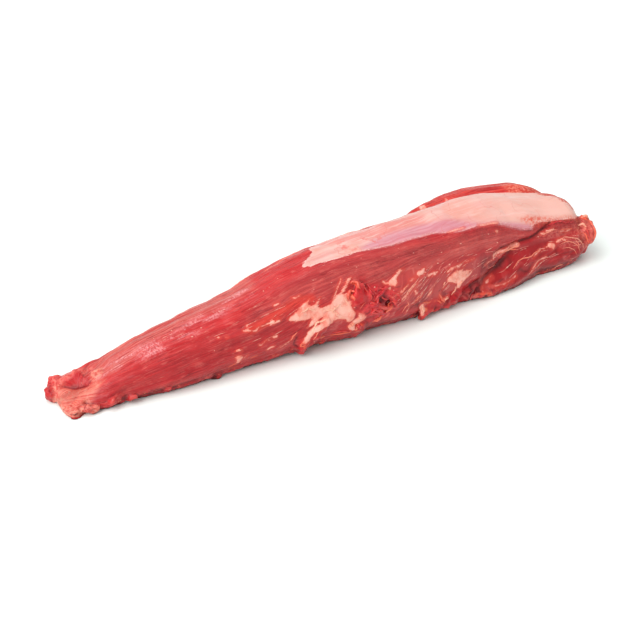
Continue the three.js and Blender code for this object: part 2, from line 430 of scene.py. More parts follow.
# %% Trimmings
tree, start = geometry_tree("trimmings", {
    "Spacing": ("Float", 10.0),
    "Smallest": ("Float", 4.0),
    "Largest": ("Float", 9.0),
    "Crumple": ("Float", 2.0),
    "Seed": ("Int", 5),
})
curve = make(tree, "GeometryNodeMeshToCurve", {"Mesh": start["Geometry"]})
even = make(tree, "GeometryNodeResampleCurve", {
    "Curve": curve.outputs[0], "Length": start["Spacing"]}, mode="LENGTH")
scrap = make(tree, "GeometryNodeMeshIcoSphere", {"Radius": 0.5, "Subdivisions": 4})
spin = make(tree, "FunctionNodeRandomValue", {
    0: (-0.6, -0.5, -0.8), 1: (0.6, 0.5, 0.8), "Seed": start["Seed"]}, data_type="FLOAT_VECTOR")
size = make(tree, "FunctionNodeRandomValue", {
    2: start["Smallest"], 3: start["Largest"], "Seed": start["Seed"]}, data_type="FLOAT")
shape = make(tree, "FunctionNodeRandomValue", {
    0: (1.2, 0.6, 0.4), 1: (2.8, 1.0, 0.8), "Seed": start["Seed"]}, data_type="FLOAT_VECTOR")
shift = make(tree, "FunctionNodeRandomValue", {
    0: (-4.0, -2.5, -2.0), 1: (4.0, 3.5, 4.0), "Seed": start["Seed"]}, data_type="FLOAT_VECTOR")
moved = make(tree, "GeometryNodeSetPosition", {
    "Geometry": even.outputs[0], "Offset": shift.outputs[0]})
scale = vector_maths(tree, "SCALE", shape.outputs[0], size.outputs[1])
placed = make(tree, "GeometryNodeInstanceOnPoints", {
    "Points": moved.outputs[0], "Instance": scrap.outputs[0],
    "Rotation": spin.outputs[0], "Scale": scale})
real = make(tree, "GeometryNodeRealizeInstances", {"Geometry": placed.outputs[0]})
crumple = make(tree, "ShaderNodeTexNoise", {"Scale": 0.25, "Detail": 4.0})
centred = vector_maths(tree, "SUBTRACT", crumple.outputs["Color"], (0.5, 0.5, 0.5))
offset = vector_maths(tree, "SCALE", centred, start["Crumple"])
crumpled = make(tree, "GeometryNodeSetPosition", {"Geometry": real.outputs[0], "Offset": offset})
finish_tree(tree, crumpled.outputs[0], beef)
print("trimmings tree:", len(tree.nodes), "nodes")

# %% Rows of trimmings
TRIMMED = [(-236, -68), (-42, 8), (64, 150)]  # where the fringe starts and ends
EDGE_STEP = 4.0
EDGE_HEIGHT = 4.0
edge_x = np.arange(TRIMMED[0][0], TRIMMED[-1][1], EDGE_STEP)
eye_edge = along(EYE, "y", edge_x) - 0.4 * along(EYE, "width", edge_x)
front_edge = along(FRONT, "y", edge_x) - 0.42 * along(FRONT, "width", edge_x)
edge_y = np.where(edge_x > 100, np.minimum(eye_edge, front_edge), eye_edge)
edge_y = edge_y + np.where(edge_x > -50, 2.5, 0)
edge_path = np.stack([edge_x, edge_y, np.full_like(edge_x, EDGE_HEIGHT)], -1)
edge = path_object("lower_edge", [
    edge_path[(edge_x >= first) & (edge_x <= last)] for first, last in TRIMMED])
coarse = grown(edge, tree, {
    "Spacing": 10.0, "Smallest": 6.0, "Largest": 12.0, "Crumple": 9.0, "Seed": 5})
fine = grown(edge, tree, {
    "Spacing": 5.5, "Smallest": 2.5, "Largest": 6.0, "Crumple": 6.0, "Seed": 9})
discard(edge)
print("trimmings:", len(coarse.polygons) + len(fine.polygons), "faces")

# %% [markdown]
# One skin round everything
#
# The lofts, lumps and scraps overlap. A boolean join would leave sharp seams, while real meat
# grows together softly. A voxel remesh wraps one even skin round them all, and a little
# smoothing melts the seams.


# %% Join and remesh
def arrays_of(mesh):
    """The points and faces of a mesh, as an array and a list."""
    points = np.zeros(len(mesh.vertices) * 3)
    mesh.vertices.foreach_get("co", points)
    return points.reshape(-1, 3), [list(p.vertices) for p in mesh.polygons]


def joined(name, parts):
    """One mesh that holds all the parts, still overlapping."""
    points, faces, first = [], [], 0
    for part_points, part_faces in parts:
        points.append(part_points)
        faces += [[first + i for i in face] for face in part_faces]
        first += len(part_points)
    mesh = bpy.data.meshes.new(name)
    mesh.from_pydata(np.vstack(points).tolist(), [], faces)
    return mesh


VOXEL = 1.1
scraps = [arrays_of(mesh) for mesh in (coarse, fine)]
rough = show("rough", joined("rough", muscles + lumps + scraps))
remesh = rough.modifiers.new("remesh", "REMESH")
remesh.mode = "VOXEL"
remesh.voxel_size = VOXEL
smooth = rough.modifiers.new("smooth", "SMOOTH")
smooth.factor = 0.5
smooth.iterations = 2
meat_mesh = evaluated_mesh(rough)
discard(rough)
print("fused skin:", len(meat_mesh.vertices), "points,", len(meat_mesh.polygons), "faces")

# %% [markdown]
# The hollows
#
# The front is torn open halfway along, in two shallow hollows that overlap. A boolean would
# cut them with a hard rim. Instead the points of the skin that lie inside a hollow's egg slide
# inwards until they reach its far wall, so the rim stays soft and the mesh stays whole.


# %% Carve the hollows
def normals_of(mesh):
    """The outward direction at each point of a mesh."""
    flat = np.zeros(len(mesh.vertices) * 3)
    mesh.vertex_normals.foreach_get("vector", flat)
    return flat.reshape(-1, 3)


def set_points(mesh, points):
    """Moves the points of a mesh."""
    mesh.vertices.foreach_set("co", points.ravel())
    mesh.update()


def pressed_in(points, normals, at, size, yaw, pitch):
    """Slides the points inside an egg along their inward direction to its far wall."""
    local = turned((points - np.array(at)), -yaw, 0)
    local = turned(local, 0, -pitch) / (np.array(size) / 2)
    inward = turned(turned(-normals, -yaw, 0), 0, -pitch) / (np.array(size) / 2)
    gap = 1 - (local ** 2).sum(1)
    a = (inward ** 2).sum(1)
    b = (local * inward).sum(1)
    travel = (-b + np.sqrt(np.maximum(b * b + a * gap, 0))) / a
    travel = np.where(gap > 0, np.minimum(travel, min(size)), 0)
    return points - normals * travel[:, None]


HOLLOWS = {
    # middle and size in millimetres, then yaw and pitch in degrees
    "tear": ((26, -43, 38), (14, 12, 8), 0, 20),
    "tear_end": ((33, -42, 32), (10, 12, 8), 0, -20),
}
points, _ = arrays_of(meat_mesh)
for hollow in HOLLOWS.values():
    points = pressed_in(points, normals_of(meat_mesh), *hollow)
    set_points(meat_mesh, points)
print("hollows:", ", ".join(HOLLOWS))

# %% [markdown]
# The fold of the tail
#
# The upper layer of the tail ends in a lip that stands over the flap below it, with a crease
# between them. It could be sculpted, but here the crease follows a line seen from above: the
# skin sinks at the line, rises into a lip on its left, and fades out at both ends.

# %% Fold the tail
FOLD_LINE = np.array([(-262, 10), (-257, 5), (-250, -1), (-243, -7), (-240, -6), (-237, -1)], float)
LIP_RISE = 1.6
CREASE_DROP = 3.2
LIP_WIDTH = 5.5


def folded(points, line, rise, drop, width):
    """Sinks a crease along a line seen from above, with a raised lip to the left of it."""
    spans = np.linalg.norm(np.diff(line, axis=0), axis=1)
    starts = np.concatenate([[0], np.cumsum(spans)])
    nearest = np.full(len(points), np.inf)
    side = np.zeros(len(points))
    share = np.zeros(len(points))
    for a, b, span, start in zip(line, line[1:], spans, starts):
        along_it = (b - a) / span
        away = points[:, :2] - a
        t = np.clip(away @ along_it, 0, span)
        distance = np.linalg.norm(away - t[:, None] * along_it, axis=1)
        closer = distance < nearest
        nearest = np.where(closer, distance, nearest)
        side = np.where(closer, along_it[0] * away[:, 1] - along_it[1] * away[:, 0], side)
        share = np.where(closer, (start + t) / starts[-1], share)
    fade = np.sin(math.pi * share) ** 0.5 * np.clip((points[:, 2] - 3) / 4, 0, 1)
    climb = np.clip(nearest / width, 0, 1)
    climb = climb * climb * (3 - 2 * climb)
    beyond = rise * np.exp((width - nearest) / 6)
    lip = np.where(nearest < width, climb * (rise + drop) - drop, beyond)
    flap = -drop * np.exp(-nearest / 5)
    return points + (fade * np.where(side > 0, lip, flap))[:, None] * np.array([0, 0, 1])


points = folded(points, FOLD_LINE, LIP_RISE, CREASE_DROP, LIP_WIDTH)
print("fold along", len(FOLD_LINE), "points")

# %% [markdown]
# The lower front edge
#
# Soft meat rolls under itself where it rests on the table, so its lower edge lies a little
# behind its side. More stations with narrower bases would do that too, but a short list of how
# far the edge is drawn in is simpler to fit to the photograph. Last, the mesh is pressed flat
# where it lies on the table.

# %% Tuck in the lower edge
TUCK = np.array([
    # millimetres along, and how far the lower front edge is tucked in
    (-232, 0), (-218, 4.5), (-200, 2.5), (-165, 2), (-150, 2), (-130, 3.5), (-100, 4), (-78, 4),
    (-66, 5), (-57, 2), (-48, 2), (-38, 4), (-25, 4), (-12, 1), (2, 0.5), (16, 4), (40, 3),
    (62, 1), (85, 0), (105, 1), (120, 1.5), (137, 3.5), (155, 1), (180, 0), (198, 2), (215, 4),
    (235, 1), (250, 1), (262, 1.5), (276, 2.5),
])


def tucked(points):
    """Draws the lower front edge backwards and upwards. What touches the table stays on it."""
    x, y, z = points.T
    amount = np.interp(x, *TUCK.T) * np.clip((along(EYE, "y", x) - y) / 15, 0, 1)
    back = 1.3 * amount * np.clip(1 - z / 20, 0, 1)
    up = 0.9 * amount * np.sin(math.pi * np.clip(z / 24, 0, 1))
    return points + np.stack([0 * x, back, up], -1)


points = tucked(points)
points[:, 2] = np.maximum(points[:, 2], 0)
set_points(meat_mesh, points)
print("lower edge tucked in by up to", TUCK[:, 1].max(), "mm")

# %% [markdown]
# Places on the muscle
#
# Every zone of the surface is described by two numbers that a butcher could measure: how far
# along the muscle it is, in millimetres, and how far round it, in degrees, with 0 at the
# front, 90 at the top and 180 at the back. A UV map would do the same, but it would have to be
# unwrapped by hand, and these two numbers can be measured on the meat itself.


# %% Measure the surface
def smoothstep(low, high, value):
    """0 below low, 1 above high, and a soft step between them."""
    t = np.clip((value - low) / (high - low), 0, 1)
    return t * t * (3 - 2 * t)


def around(stations, x, y, z):
    """Degrees round a muscle, and how far out of its section a point is (1 is on it)."""
    half_height = (along(stations, "top", x) - along(stations, "bottom", x)) / 2
    half_width = along(stations, "width", x) / 2
    dz = z - along(stations, "bottom", x) - half_height
    dy = y - along(stations, "y", x) - along(stations, "lean", x) * dz
    dz = dz - along(stations, "tilt", x) * dy
    beyond = np.maximum(stations[0, 0] - x, 0) + np.maximum(x - stations[-1, 0], 0)
    out = ((np.abs(dy) / half_width) ** 2.3 + (np.abs(dz) / half_height) ** 2.3) ** (1 / 2.3)
    return np.degrees(np.arctan2(dz / half_height, -dy / half_width)), out + beyond / 15


def radius_at(x):
    """The mean radius of the main muscle."""
    half_height = (along(EYE, "top", x) - along(EYE, "bottom", x)) / 2
    return (half_height + along(EYE, "width", x) / 2) / 2


def places(points):
    """x, and degrees round the centre of the main muscle's section."""
    x, y, z = points.T
    centre_z = (along(EYE, "top", x) + along(EYE, "bottom", x)) / 2
    degrees = np.degrees(np.arctan2(z - centre_z, along(EYE, "y", x) - y))
    return x, np.where(degrees < -90, degrees + 360, degrees)


x, degrees = places(points)
wing_degrees, wing_out = around(WING, *points.T)
on_wing = (wing_out < around(EYE, *points.T)[1]) & (degrees > 90)
print("share of the skin on the back muscle:", round(float(on_wing.mean()), 2))

# %% [markdown]
# Where the fibres run
#
# Muscle fibres run along the tenderloin on top, but on its lower front they sweep up towards
# the butt, and round the front lobe they bend like an S. A short list of guides says how
# steeply they climb at some places. Between the guides the climb is blended. A table then
# follows every fibre back to the tail end: two places that lie on one fibre get the same
# number. That number, with the distance along, gives every later pattern its grain.

# %% Fibre guides
FIBRE_GUIDES = np.array([
    # millimetres along, degrees round, climb in degrees for each millimetre
    (-200, 26, 0), (-200, 0, 0.05), (-150, 30, 0), (-150, 0, 0.08), (-100, 0, 0.12),
    (-70, -8, 0.4), (-70, 28, 0.35), (-90, 55, 0), (-50, 62, 0), (-40, 46, 0.1),
    (-40, 10, 0.5), (-10, 10, 0.6), (0, 62, -0.08), (0, 36, 0.2), (45, 55, -0.12),
    (90, 48, -0.15), (30, 36, 0.1), (20, 10, 0.5), (46, 10, 0.7), (54, -16, 1.2),
    (60, 18, 0.8), (80, -5, 1.3), (80, 12, 0.8), (78, 32, 0.2), (100, -5, 0.8),
    (110, -20, 0.6), (120, 10, 0.25), (125, 36, -0.05), (150, 28, -0.12), (150, 5, 0.2),
    (180, 20, -0.1), (180, 0, 0.2), (150, -24, -0.1), (176, -23, 0.3), (188, -17, 0.75),
    (198, -10, 0.75), (215, -5, 0.1), (240, -5, 0), (193, -28, 0.8), (203, -21, 0.45),
    (230, -18, 0), (256, -18, 0), (170, 45, -0.2), (200, 32, -0.15),
])
GRID_STEP = 4.0
GRID_X = np.arange(-292, 300, GRID_STEP)
DEGREE_STEP = 2.0
GRID_DEGREES = np.arange(-160, 281, DEGREE_STEP)
GUIDE_REACH = 22  # how far along the muscle a guide is felt, in millimetres
GUIDE_REACH_DEGREES = 12


def climb_at(x, degrees):
    """How steeply the fibres climb at places on the muscle, in degrees for each millimetre."""
    apart_x = (np.asarray(x)[..., None] - FIBRE_GUIDES[:, 0]) / GUIDE_REACH
    apart_degrees = (np.asarray(degrees)[..., None] - FIBRE_GUIDES[:, 1]) / GUIDE_REACH_DEGREES
    weight = np.exp(-apart_x ** 2 - apart_degrees ** 2)
    return (weight * FIBRE_GUIDES[:, 2]).sum(-1) / (weight.sum(-1) + 0.2)


origin = [GRID_DEGREES]
for grid_x in GRID_X[1:]:
    behind = GRID_DEGREES - GRID_STEP * climb_at(grid_x, GRID_DEGREES)
    origin.append(np.interp(behind, GRID_DEGREES, origin[-1]))
origin = np.array(origin)


def fibre_of(x, degrees):
    """The number of the fibre at a place: the degrees where it leaves the tail."""
    column = np.clip((x - GRID_X[0]) / GRID_STEP, 0, len(GRID_X) - 1.001)
    row = np.clip((degrees - GRID_DEGREES[0]) / DEGREE_STEP, 0, len(GRID_DEGREES) - 1.001)
    i, j = column.astype(int), row.astype(int)
    u, v = column - i, row - j
    low = origin[i, j] * (1 - u) + origin[i + 1, j] * u
    high = origin[i, j + 1] * (1 - u) + origin[i + 1, j + 1] * u
    return low * (1 - v) + high * v


FIBRE_SPREAD = 0.66  # millimetres between fibres that leave the tail one degree apart
fibre = np.where(on_wing, wing_degrees * 0.8 + 300, fibre_of(x, degrees))
grain = np.stack([x, fibre * FIBRE_SPREAD, 0 * x], -1)
print("fibre numbers from", round(float(fibre.min())), "to", round(float(fibre.max())))

# %% [markdown]
# Colour zones
#
# The silverskin, the fat and the changes of red are areas with clear outlines. Each outline is
# a short list of places on the muscle. For every point of the skin the script stores how far
# inside or outside the outline it is, in millimetres. The material turns that distance into a
# ragged edge, finer than the mesh itself. Round the flat tail end the degrees crowd together,
# so its outlines are drawn as seen from above instead.


# %% Distances to outlines and lines
def flat_map(x, degrees):
    """Places on the muscle unrolled onto a plane, in millimetres."""
    return np.stack([x, np.radians(degrees) * radius_at(x)], -1)


def segment_distance(here, a, b):
    """The distance of each point from one straight stretch."""
    stretch = b - a
    t = np.clip(((here - a) @ stretch) / max(stretch @ stretch, 1e-9), 0, 1)
    return np.linalg.norm(here - a - t[:, None] * stretch, axis=1)


def corners_of(outline, unrolled):
    """The corners of an outline as points of the plane that it is measured in."""
    outline = np.array(outline, float)
    return flat_map(*outline.T) if unrolled else outline


def inside(here, outline, unrolled=True):
    """Millimetres inside a closed outline. Outside it the value is negative."""
    corners = corners_of(outline, unrolled)
    nearest = np.full(len(here), np.inf)
    odd = np.zeros(len(here), bool)
    for a, b in zip(corners, np.roll(corners, -1, 0)):
        nearest = np.minimum(nearest, segment_distance(here, a, b))
        crosses = (a[1] > here[:, 1]) != (b[1] > here[:, 1])
        rise = b[1] - a[1] if b[1] != a[1] else 1e-9
        odd ^= crosses & (here[:, 0] < a[0] + (here[:, 1] - a[1]) / rise * (b[0] - a[0]))
    return np.where(odd, nearest, -nearest)


def near(here, line, reach, unrolled=True):
    """Millimetres inside a stroke of that reach, drawn along a line."""
    bends = corners_of(line, unrolled)
    nearest = np.full(len(here), np.inf)
    for a, b in zip(bends, bends[1:]):
        nearest = np.minimum(nearest, segment_distance(here, a, b))
    return reach - nearest


def strokes(here, lines, unrolled=True):
    """Millimetres inside the nearest of several strokes, each a line and its reach."""
    return np.max([near(here, line, reach, unrolled) for line, reach in lines], 0)


here = flat_map(x, degrees)
from_above = points[:, :2]


def area(outline, low, high):
    """1 inside an outline and 0 outside it, stepping from low to high millimetres inside."""
    return smoothstep(low, high, inside(here, outline))


def band(line, reach, soft):
    """1 along a line and 0 beyond its reach, with an edge that many millimetres soft."""
    return smoothstep(0, soft, near(here, line, reach))


print("area unrolled:", np.ptp(here, 0).round().tolist(), "mm")

# %% [markdown]
# The silverskin starts in a ragged tip at the middle of the top and widens towards the butt,
# where it ends in a straight lower edge with a tongue. Along its lower part it is thin, and
# the red muscle below makes it look lilac. Near its tip it is speckled with red.

# %% Silverskin
SILVERSKIN = [
    (-34, 84), (-32, 91), (-26, 96), (-20, 102), (-15, 109), (-14, 119), (-9, 127), (0, 130),
    (15, 132), (31, 131), (42, 128), (52, 124), (66, 122), (82, 122), (96, 122), (112, 121),
    (135, 121), (159, 117), (179, 115), (213, 118), (240, 126), (254, 106), (262, 84),
    (272, 64), (277, 46), (265, 36), (251, 37), (240, 38), (226, 38), (214, 36), (209, 34),
    (208, 31), (199, 32), (190, 36), (181, 41), (173, 45), (162, 48), (150, 50), (130, 53),
    (113, 57), (98, 65), (80, 66), (63, 67), (47, 69), (32, 73), (19, 75), (7, 76), (-9, 77),
    (-19, 79), (-28, 80),
]
LILAC = [
    (22, 76), (25, 84), (33, 89), (43, 93), (58, 95), (75, 94), (92, 92), (107, 86), (124, 80),
    (140, 66), (150, 56), (160, 50), (173, 47), (182, 44), (191, 41), (200, 38), (209, 37),
    (212, 30), (209, 26), (193, 26), (178, 33), (165, 40), (150, 44), (120, 48), (96, 58),
    (63, 60), (32, 66),
]
LILAC_TONGUE = [
    (166, 46), (176, 45), (190, 41), (207, 36), (213, 31), (209, 25), (193, 25), (178, 32),
]
silverskin = np.where(on_wing, -8, inside(here, SILVERSKIN))
lilac_band = area(LILAC, -5, 10)
lilac_tongue = area(LILAC_TONGUE, -4, 4)
lilac = np.maximum(lilac_band, lilac_tongue)
print("silverskin covers", round(100 * (silverskin > 0).mean(), 1), "% of the skin")

# %% [markdown]
# The largest fat patch sits on the front, halfway along, and sends branches up, and down onto
# the rolled flap. Smaller patches and thin streaks lie towards the butt, on the ridge of the
# front muscle, and at the tail.

# %% Fat
FAT_PATCHES = {
    "large": [
        (-68, 24), (-62, 27), (-56, 30), (-50, 34), (-43, 36), (-46, 32), (-45, 28), (-41, 26),
        (-38, 30), (-34, 33), (-38, 26), (-37, 21), (-32, 20), (-27, 21), (-23, 25), (-19, 28),
        (-14, 30), (-9, 36), (-3, 43), (1, 44), (-3, 38), (-8, 32), (-12, 28), (-10, 26),
        (-5, 28), (-8, 25), (-9, 21), (-6, 15), (-6, 12), (-6, 6), (-3, 1), (-4, -6), (-8, -11),
        (-11, -9), (-12, -4), (-16, -2), (-25, -1), (-30, -4), (-36, -3), (-41, -5), (-46, -8),
        (-50, -13), (-54, -15), (-56, -14), (-53, -9), (-50, -3), (-46, 0), (-41, 1), (-38, 5),
        (-34, 8), (-39, 7), (-46, 3), (-51, 2), (-49, 6), (-44, 11), (-51, 13), (-56, 14),
        (-63, 17),
    ],
    "tuft": [
        (-1, 0), (5, -3), (8, -7), (8, -11), (5, -14), (1, -15), (-3, -16), (-2, -23), (-5, -24),
        (-9, -19), (-10, -15), (-6, -12), (-3, -9), (0, -5),
    ],
    "upper": [
        (36, 25), (40, 26), (43, 29), (49, 33), (54, 32), (50, 30), (46, 27), (43, 24), (43, 20),
        (40, 17), (37, 20), (35, 15), (33, 17), (35, 22),
    ],
    "middle": [(65, 21), (67, 23), (71, 23), (76, 25), (74, 21), (70, 19), (66, 19)],
    "lower": [
        (99, 0), (101, 4), (106, 7), (111, 9), (116, 8), (122, 10), (118, 5), (125, 3), (129, 1),
        (123, -1), (132, -1), (125, -6), (120, -8), (116, -10), (114, -15), (111, -13),
        (111, -8), (106, -4),
    ],
    "lobe": [(216, -1), (221, 0), (226, 4), (231, 5), (235, 1), (231, -4), (226, 0), (221, -2)],
    "dot": [(164, 37), (167, 37), (169, 35), (165, 34)],
    "left": [
        (-85, 29), (-82, 32), (-80, 28), (-75, 28), (-75, 25), (-80, 26), (-84, 26),
    ],
    "left_upper": [(-119, 6), (-116, 8), (-113, 4), (-116, 4)],
    "left_lower": [
        (-120, -4), (-118, -1), (-115, -3), (-113, -7), (-115, -11), (-116, -17), (-119, -15),
        (-118, -10),
    ],
    "back_left": [
        (-96, 140), (-84, 134), (-66, 136), (-58, 142), (-70, 146), (-78, 154), (-88, 150),
    ],
    "back_middle": [
        (18, 138), (34, 132), (52, 134), (70, 130), (66, 138), (52, 142), (40, 150), (30, 144),
    ],
    "cream_tag": [(69, -20), (72, -20), (74, -26), (73, -31), (70, -31), (70, -26)],
}
FAT_STREAKS = [
    # a line, and how far the fat reaches on each side of it
    ([(-23, 25), (-18, 32), (-15, 37), (-11, 42), (-9, 46)], 0.6),
    ([(30, 26), (32, 23), (36, 22)], 1.0),
    ([(114, 56), (122, 56), (133, 55)], 0.9),
    ([(148, 50), (158, 48), (170, 46)], 0.7),
    ([(-78, -16), (-71, -11), (-64, -4)], 0.6),
    ([(-97, 29), (-91, 29), (-85, 29)], 0.4),
    ([(-104, 39), (-105, 33)], 0.5),
    ([(-109, 33), (-103, 29), (-98, 26), (-97, 28)], 0.5),
    ([(-83, 7), (-80, 6)], 1.0),
    ([(-97, 3), (-95, 2), (-93, 4), (-91, 6), (-87, 5)], 0.5),
    ([(-89, -10), (-86, -8), (-83, -8)], 1.0),
    ([(-113, -11), (-108, -7)], 0.5),
    ([(-132, 37), (-131, 37)], 0.7),
    ([(-125, 33), (-124, 33)], 0.7),
    ([(-58, 48), (-55, 45), (-51, 46)], 0.5),
    ([(-75, 49), (-71, 49)], 0.7),
    ([(35, 5), (40, 6), (45, 8), (53, 12)], 0.4),
    ([(45, 7), (49, 10), (54, 13)], 0.8),
    ([(46, -1), (52, 3), (58, 8), (63, 12)], 0.8),
    ([(56, 17), (60, 17), (65, 20)], 0.6),
    ([(62, -11), (66, -6), (70, -2)], 0.5),
    ([(52, -22), (55, -18), (55, -13), (53, -8)], 0.6),
    ([(76, -10), (79, -7), (81, -4)], 0.9),
    ([(61, 3), (63, 0), (61, -1)], 1.1),
    ([(77, 15), (84, 16), (89, 15)], 0.6),
    ([(82, 13), (86, 14)], 0.5),
    ([(59, -12), (65, -9), (69, -4)], 0.5),
    ([(100, 11), (105, 13), (114, 13)], 1.1),
    ([(114, 13), (120, 14), (127, 14), (134, 14)], 0.5),
    ([(94, -6), (98, -3)], 0.7),
    ([(108, -19), (109, -12)], 0.8),
    ([(150, -23), (157, -24), (167, -24), (176, -22), (182, -20)], 0.2),
    ([(141, -25), (147, -20), (156, -16)], 0.2),
    ([(155, 1), (161, 5), (165, 7)], 0.4),
    ([(147, -1), (153, 1), (160, 4)], 0.4),
    ([(90, -12), (94, -22), (95, -24)], 0.5),
    ([(96, -22), (101, -21)], 0.5),
    ([(158, 7), (166, 9), (177, 9), (184, 11), (191, 12)], 1.0),
    ([(184, 9), (189, 10)], 1.4),
    ([(206, -8), (210, -5), (216, -1)], 0.6),
    ([(236, 5), (243, 8), (247, 5)], 0.9),
    ([(219, 21), (223, 20)], 0.9),
    ([(225, 24), (234, 25)], 0.6),
    ([(242, 20), (251, 18), (256, 20)], 0.6),
    ([(200, -22), (206, -17), (212, -13), (222, -11)], 0.4),
    ([(136, 155), (128, 150)], 1.5),
    ([(-150, 150), (-128, 146), (-112, 150)], 1.0),
    ([(-60, 152), (-40, 148), (-22, 152), (-6, 150)], 1.8),
    ([(10, 156), (34, 152), (58, 156)], 1.2),
    ([(154, 120), (155, 120)], 0.8),
    ([(134, 154), (139, 154)], 1.2),
    ([(163, 151), (165, 151)], 0.8),
    ([(246, 139), (247, 139)], 0.4),
]
patches = [inside(here, outline) for outline in FAT_PATCHES.values()]
fat = np.max(patches, 0)
fat_lines = strokes(here, FAT_STREAKS)
print("fat patches:", len(FAT_PATCHES), "streaks:", len(FAT_STREAKS))

# %% [markdown]
# The red changes too. The top of the tail half is a brighter red, partly its own and partly
# painted light on the faces that look up, with a painted wet sheen on it. Its back edge gets
# painted shade where it turns away from the light, the front below the silverskin is a dusky
# dark red, and an orange band runs along the upper edge of the large fat patch. These could be
# painted by hand. As outlines they stay sharp however close the camera comes, and each can be
# moved alone.

# %% Zones along the body
# the top of the tail half: a brighter red, partly its own and partly painted light on the faces
# that look up
LIT_RED_TOP_OUTLINE = [
    (-290, 30), (-229, 34), (-213, 42), (-184, 45), (-150, 46), (-110, 48), (-85, 62),
    (-60, 71), (-30, 80), (-16, 90), (-8, 125), (-4, 165), (-290, 165),
]
DUSKY_FRONT = [
    (-110, 48), (-80, 60), (-48, 70), (0, 68), (60, 62), (110, 48), (150, 42), (190, 30),
    (215, 28), (160, 10), (127, -20), (60, -20), (10, 40), (-26, 24), (-49, 33), (-72, 32),
    (-100, 38),
]
SWEPT = [
    (24, -26), (30, -4), (44, 12), (60, 20), (100, 22), (150, 12), (190, 14), (230, 10), (256, 0),
    (256, -28), (190, -30), (110, -32),
]
# painted shade: a duller, browner band along the far back edge of the tail half, where it turns
# away from the light
BACK_EDGE_SHADE_LINE = [(-225, 100), (-196, 118), (-174, 116), (-143, 118), (-119, 118), (-90, 120)]
ORANGE = [(-102, 30), (-85, 34), (-66, 38), (-50, 40), (-42, 36)]
# painted highlight: a pinkish-white wet sheen along the top of the tail half
SHEEN_HIGHLIGHT_LINE = [
    (-232, 82), (-222, 80), (-208, 76), (-195, 72), (-182, 68), (-172, 68), (-154, 72),
    (-136, 80), (-120, 90), (-99, 98), (-88, 98),
]
zones = {
    "redder_lit_top": area(LIT_RED_TOP_OUTLINE, -7, 7),
    "dusky": area(DUSKY_FRONT, -6, 8),
    "swept": area(SWEPT, -6, 8),
    "back_edge_shade": band(BACK_EDGE_SHADE_LINE, 20, 12),
    "orange": band(ORANGE, 7, 6),
    "sheen_highlight": band(SHEEN_HIGHLIGHT_LINE, 13, 11),
    "wing": on_wing * 1.0,
    "low_edge": (1 - smoothstep(5, 13, points[:, 2])) * smoothstep(-240, -222, x),
    # painted shade: darker within 3 mm of the table, where the meat meets it
    "contact_shade": (1 - smoothstep(0.3, 3.0, points[:, 2])) * smoothstep(-262, -246, x),
}
print("zones along the body:", ", ".join(zones))

# %% [markdown]
# The cut end of the tail is paler and partly covered with thin fat. Its outlines are drawn as
# seen from above, each with the height that it starts at, because two layers lie over each
# other there.

# %% Zones of the tail
PALE_TAIL = [
    # as seen from above
    (-261, 11), (-257, 4), (-250, -2), (-244, -8), (-237, -9), (-231, -15), (-236, -17),
    (-241, -19), (-246, -20), (-253, -26), (-262, -36), (-280, -30), (-272, 4), (-266, 13),
]
PALE_LUMPS = [(-240, -6), (-238, -1), (-233, 1), (-227, -4), (-230, -9), (-236, -11)]
PALE_TAG = [(-251, -20), (-248, -25), (-245, -29)]
CREAM_EDGE = [(-268, 9), (-268, 0), (-268, -10), (-267, -20), (-265, -27), (-258, -27)]
LIP_TOP = [
    # as seen from above
    (-264, 12), (-258, 9), (-252, 7), (-246, 8), (-241, 3), (-238, -1), (-232, 4), (-236, 14),
    (-246, 22), (-258, 24), (-266, 20),
]
UNDER_LIP = [(-258, 8), (-252, 7), (-246, 8), (-242, 3), (-239, -3), (-241, -8), (-249, -2)]
# painted shade under the overhanging lip of the tail, and in two gaps at the tail
FOLD_SHADOW = [(-258, 6), (-254, 2), (-250, -1), (-246, -5), (-243, -7), (-240, -6)]
TAIL_GAPS = [
    [(-268, 15), (-271, 12), (-271, 5)],
    [(-255, -25), (-252, -23), (-249, -20)],
]
tail_zones = {
    "pale": smoothstep(-3, 3, inside(from_above, PALE_TAIL, False)) * (points[:, 2] > 0.5),
    "pale_lump": np.maximum(
        smoothstep(-1.5, 1.5, inside(from_above, PALE_LUMPS, False)),
        smoothstep(0, 2, near(from_above, PALE_TAG, 4.5, False))) * (points[:, 2] > 1),
    "cream_edge": smoothstep(-1, 4, near(from_above, CREAM_EDGE, 4.0, False)),
    "lip": smoothstep(-2, 2, inside(from_above, LIP_TOP, False)) * (points[:, 2] > 4),
    "under_lip": smoothstep(-1, 1.5, inside(from_above, UNDER_LIP, False)) * (points[:, 2] > 6),
    "fold": smoothstep(0, 0.8, np.maximum(
        near(from_above, FOLD_SHADOW, 0.9, False), strokes(
            from_above, [(gap, 1.0) for gap in TAIL_GAPS], False))),
}
zones.update(tail_zones)
print("zones of the tail:", ", ".join(tail_zones))
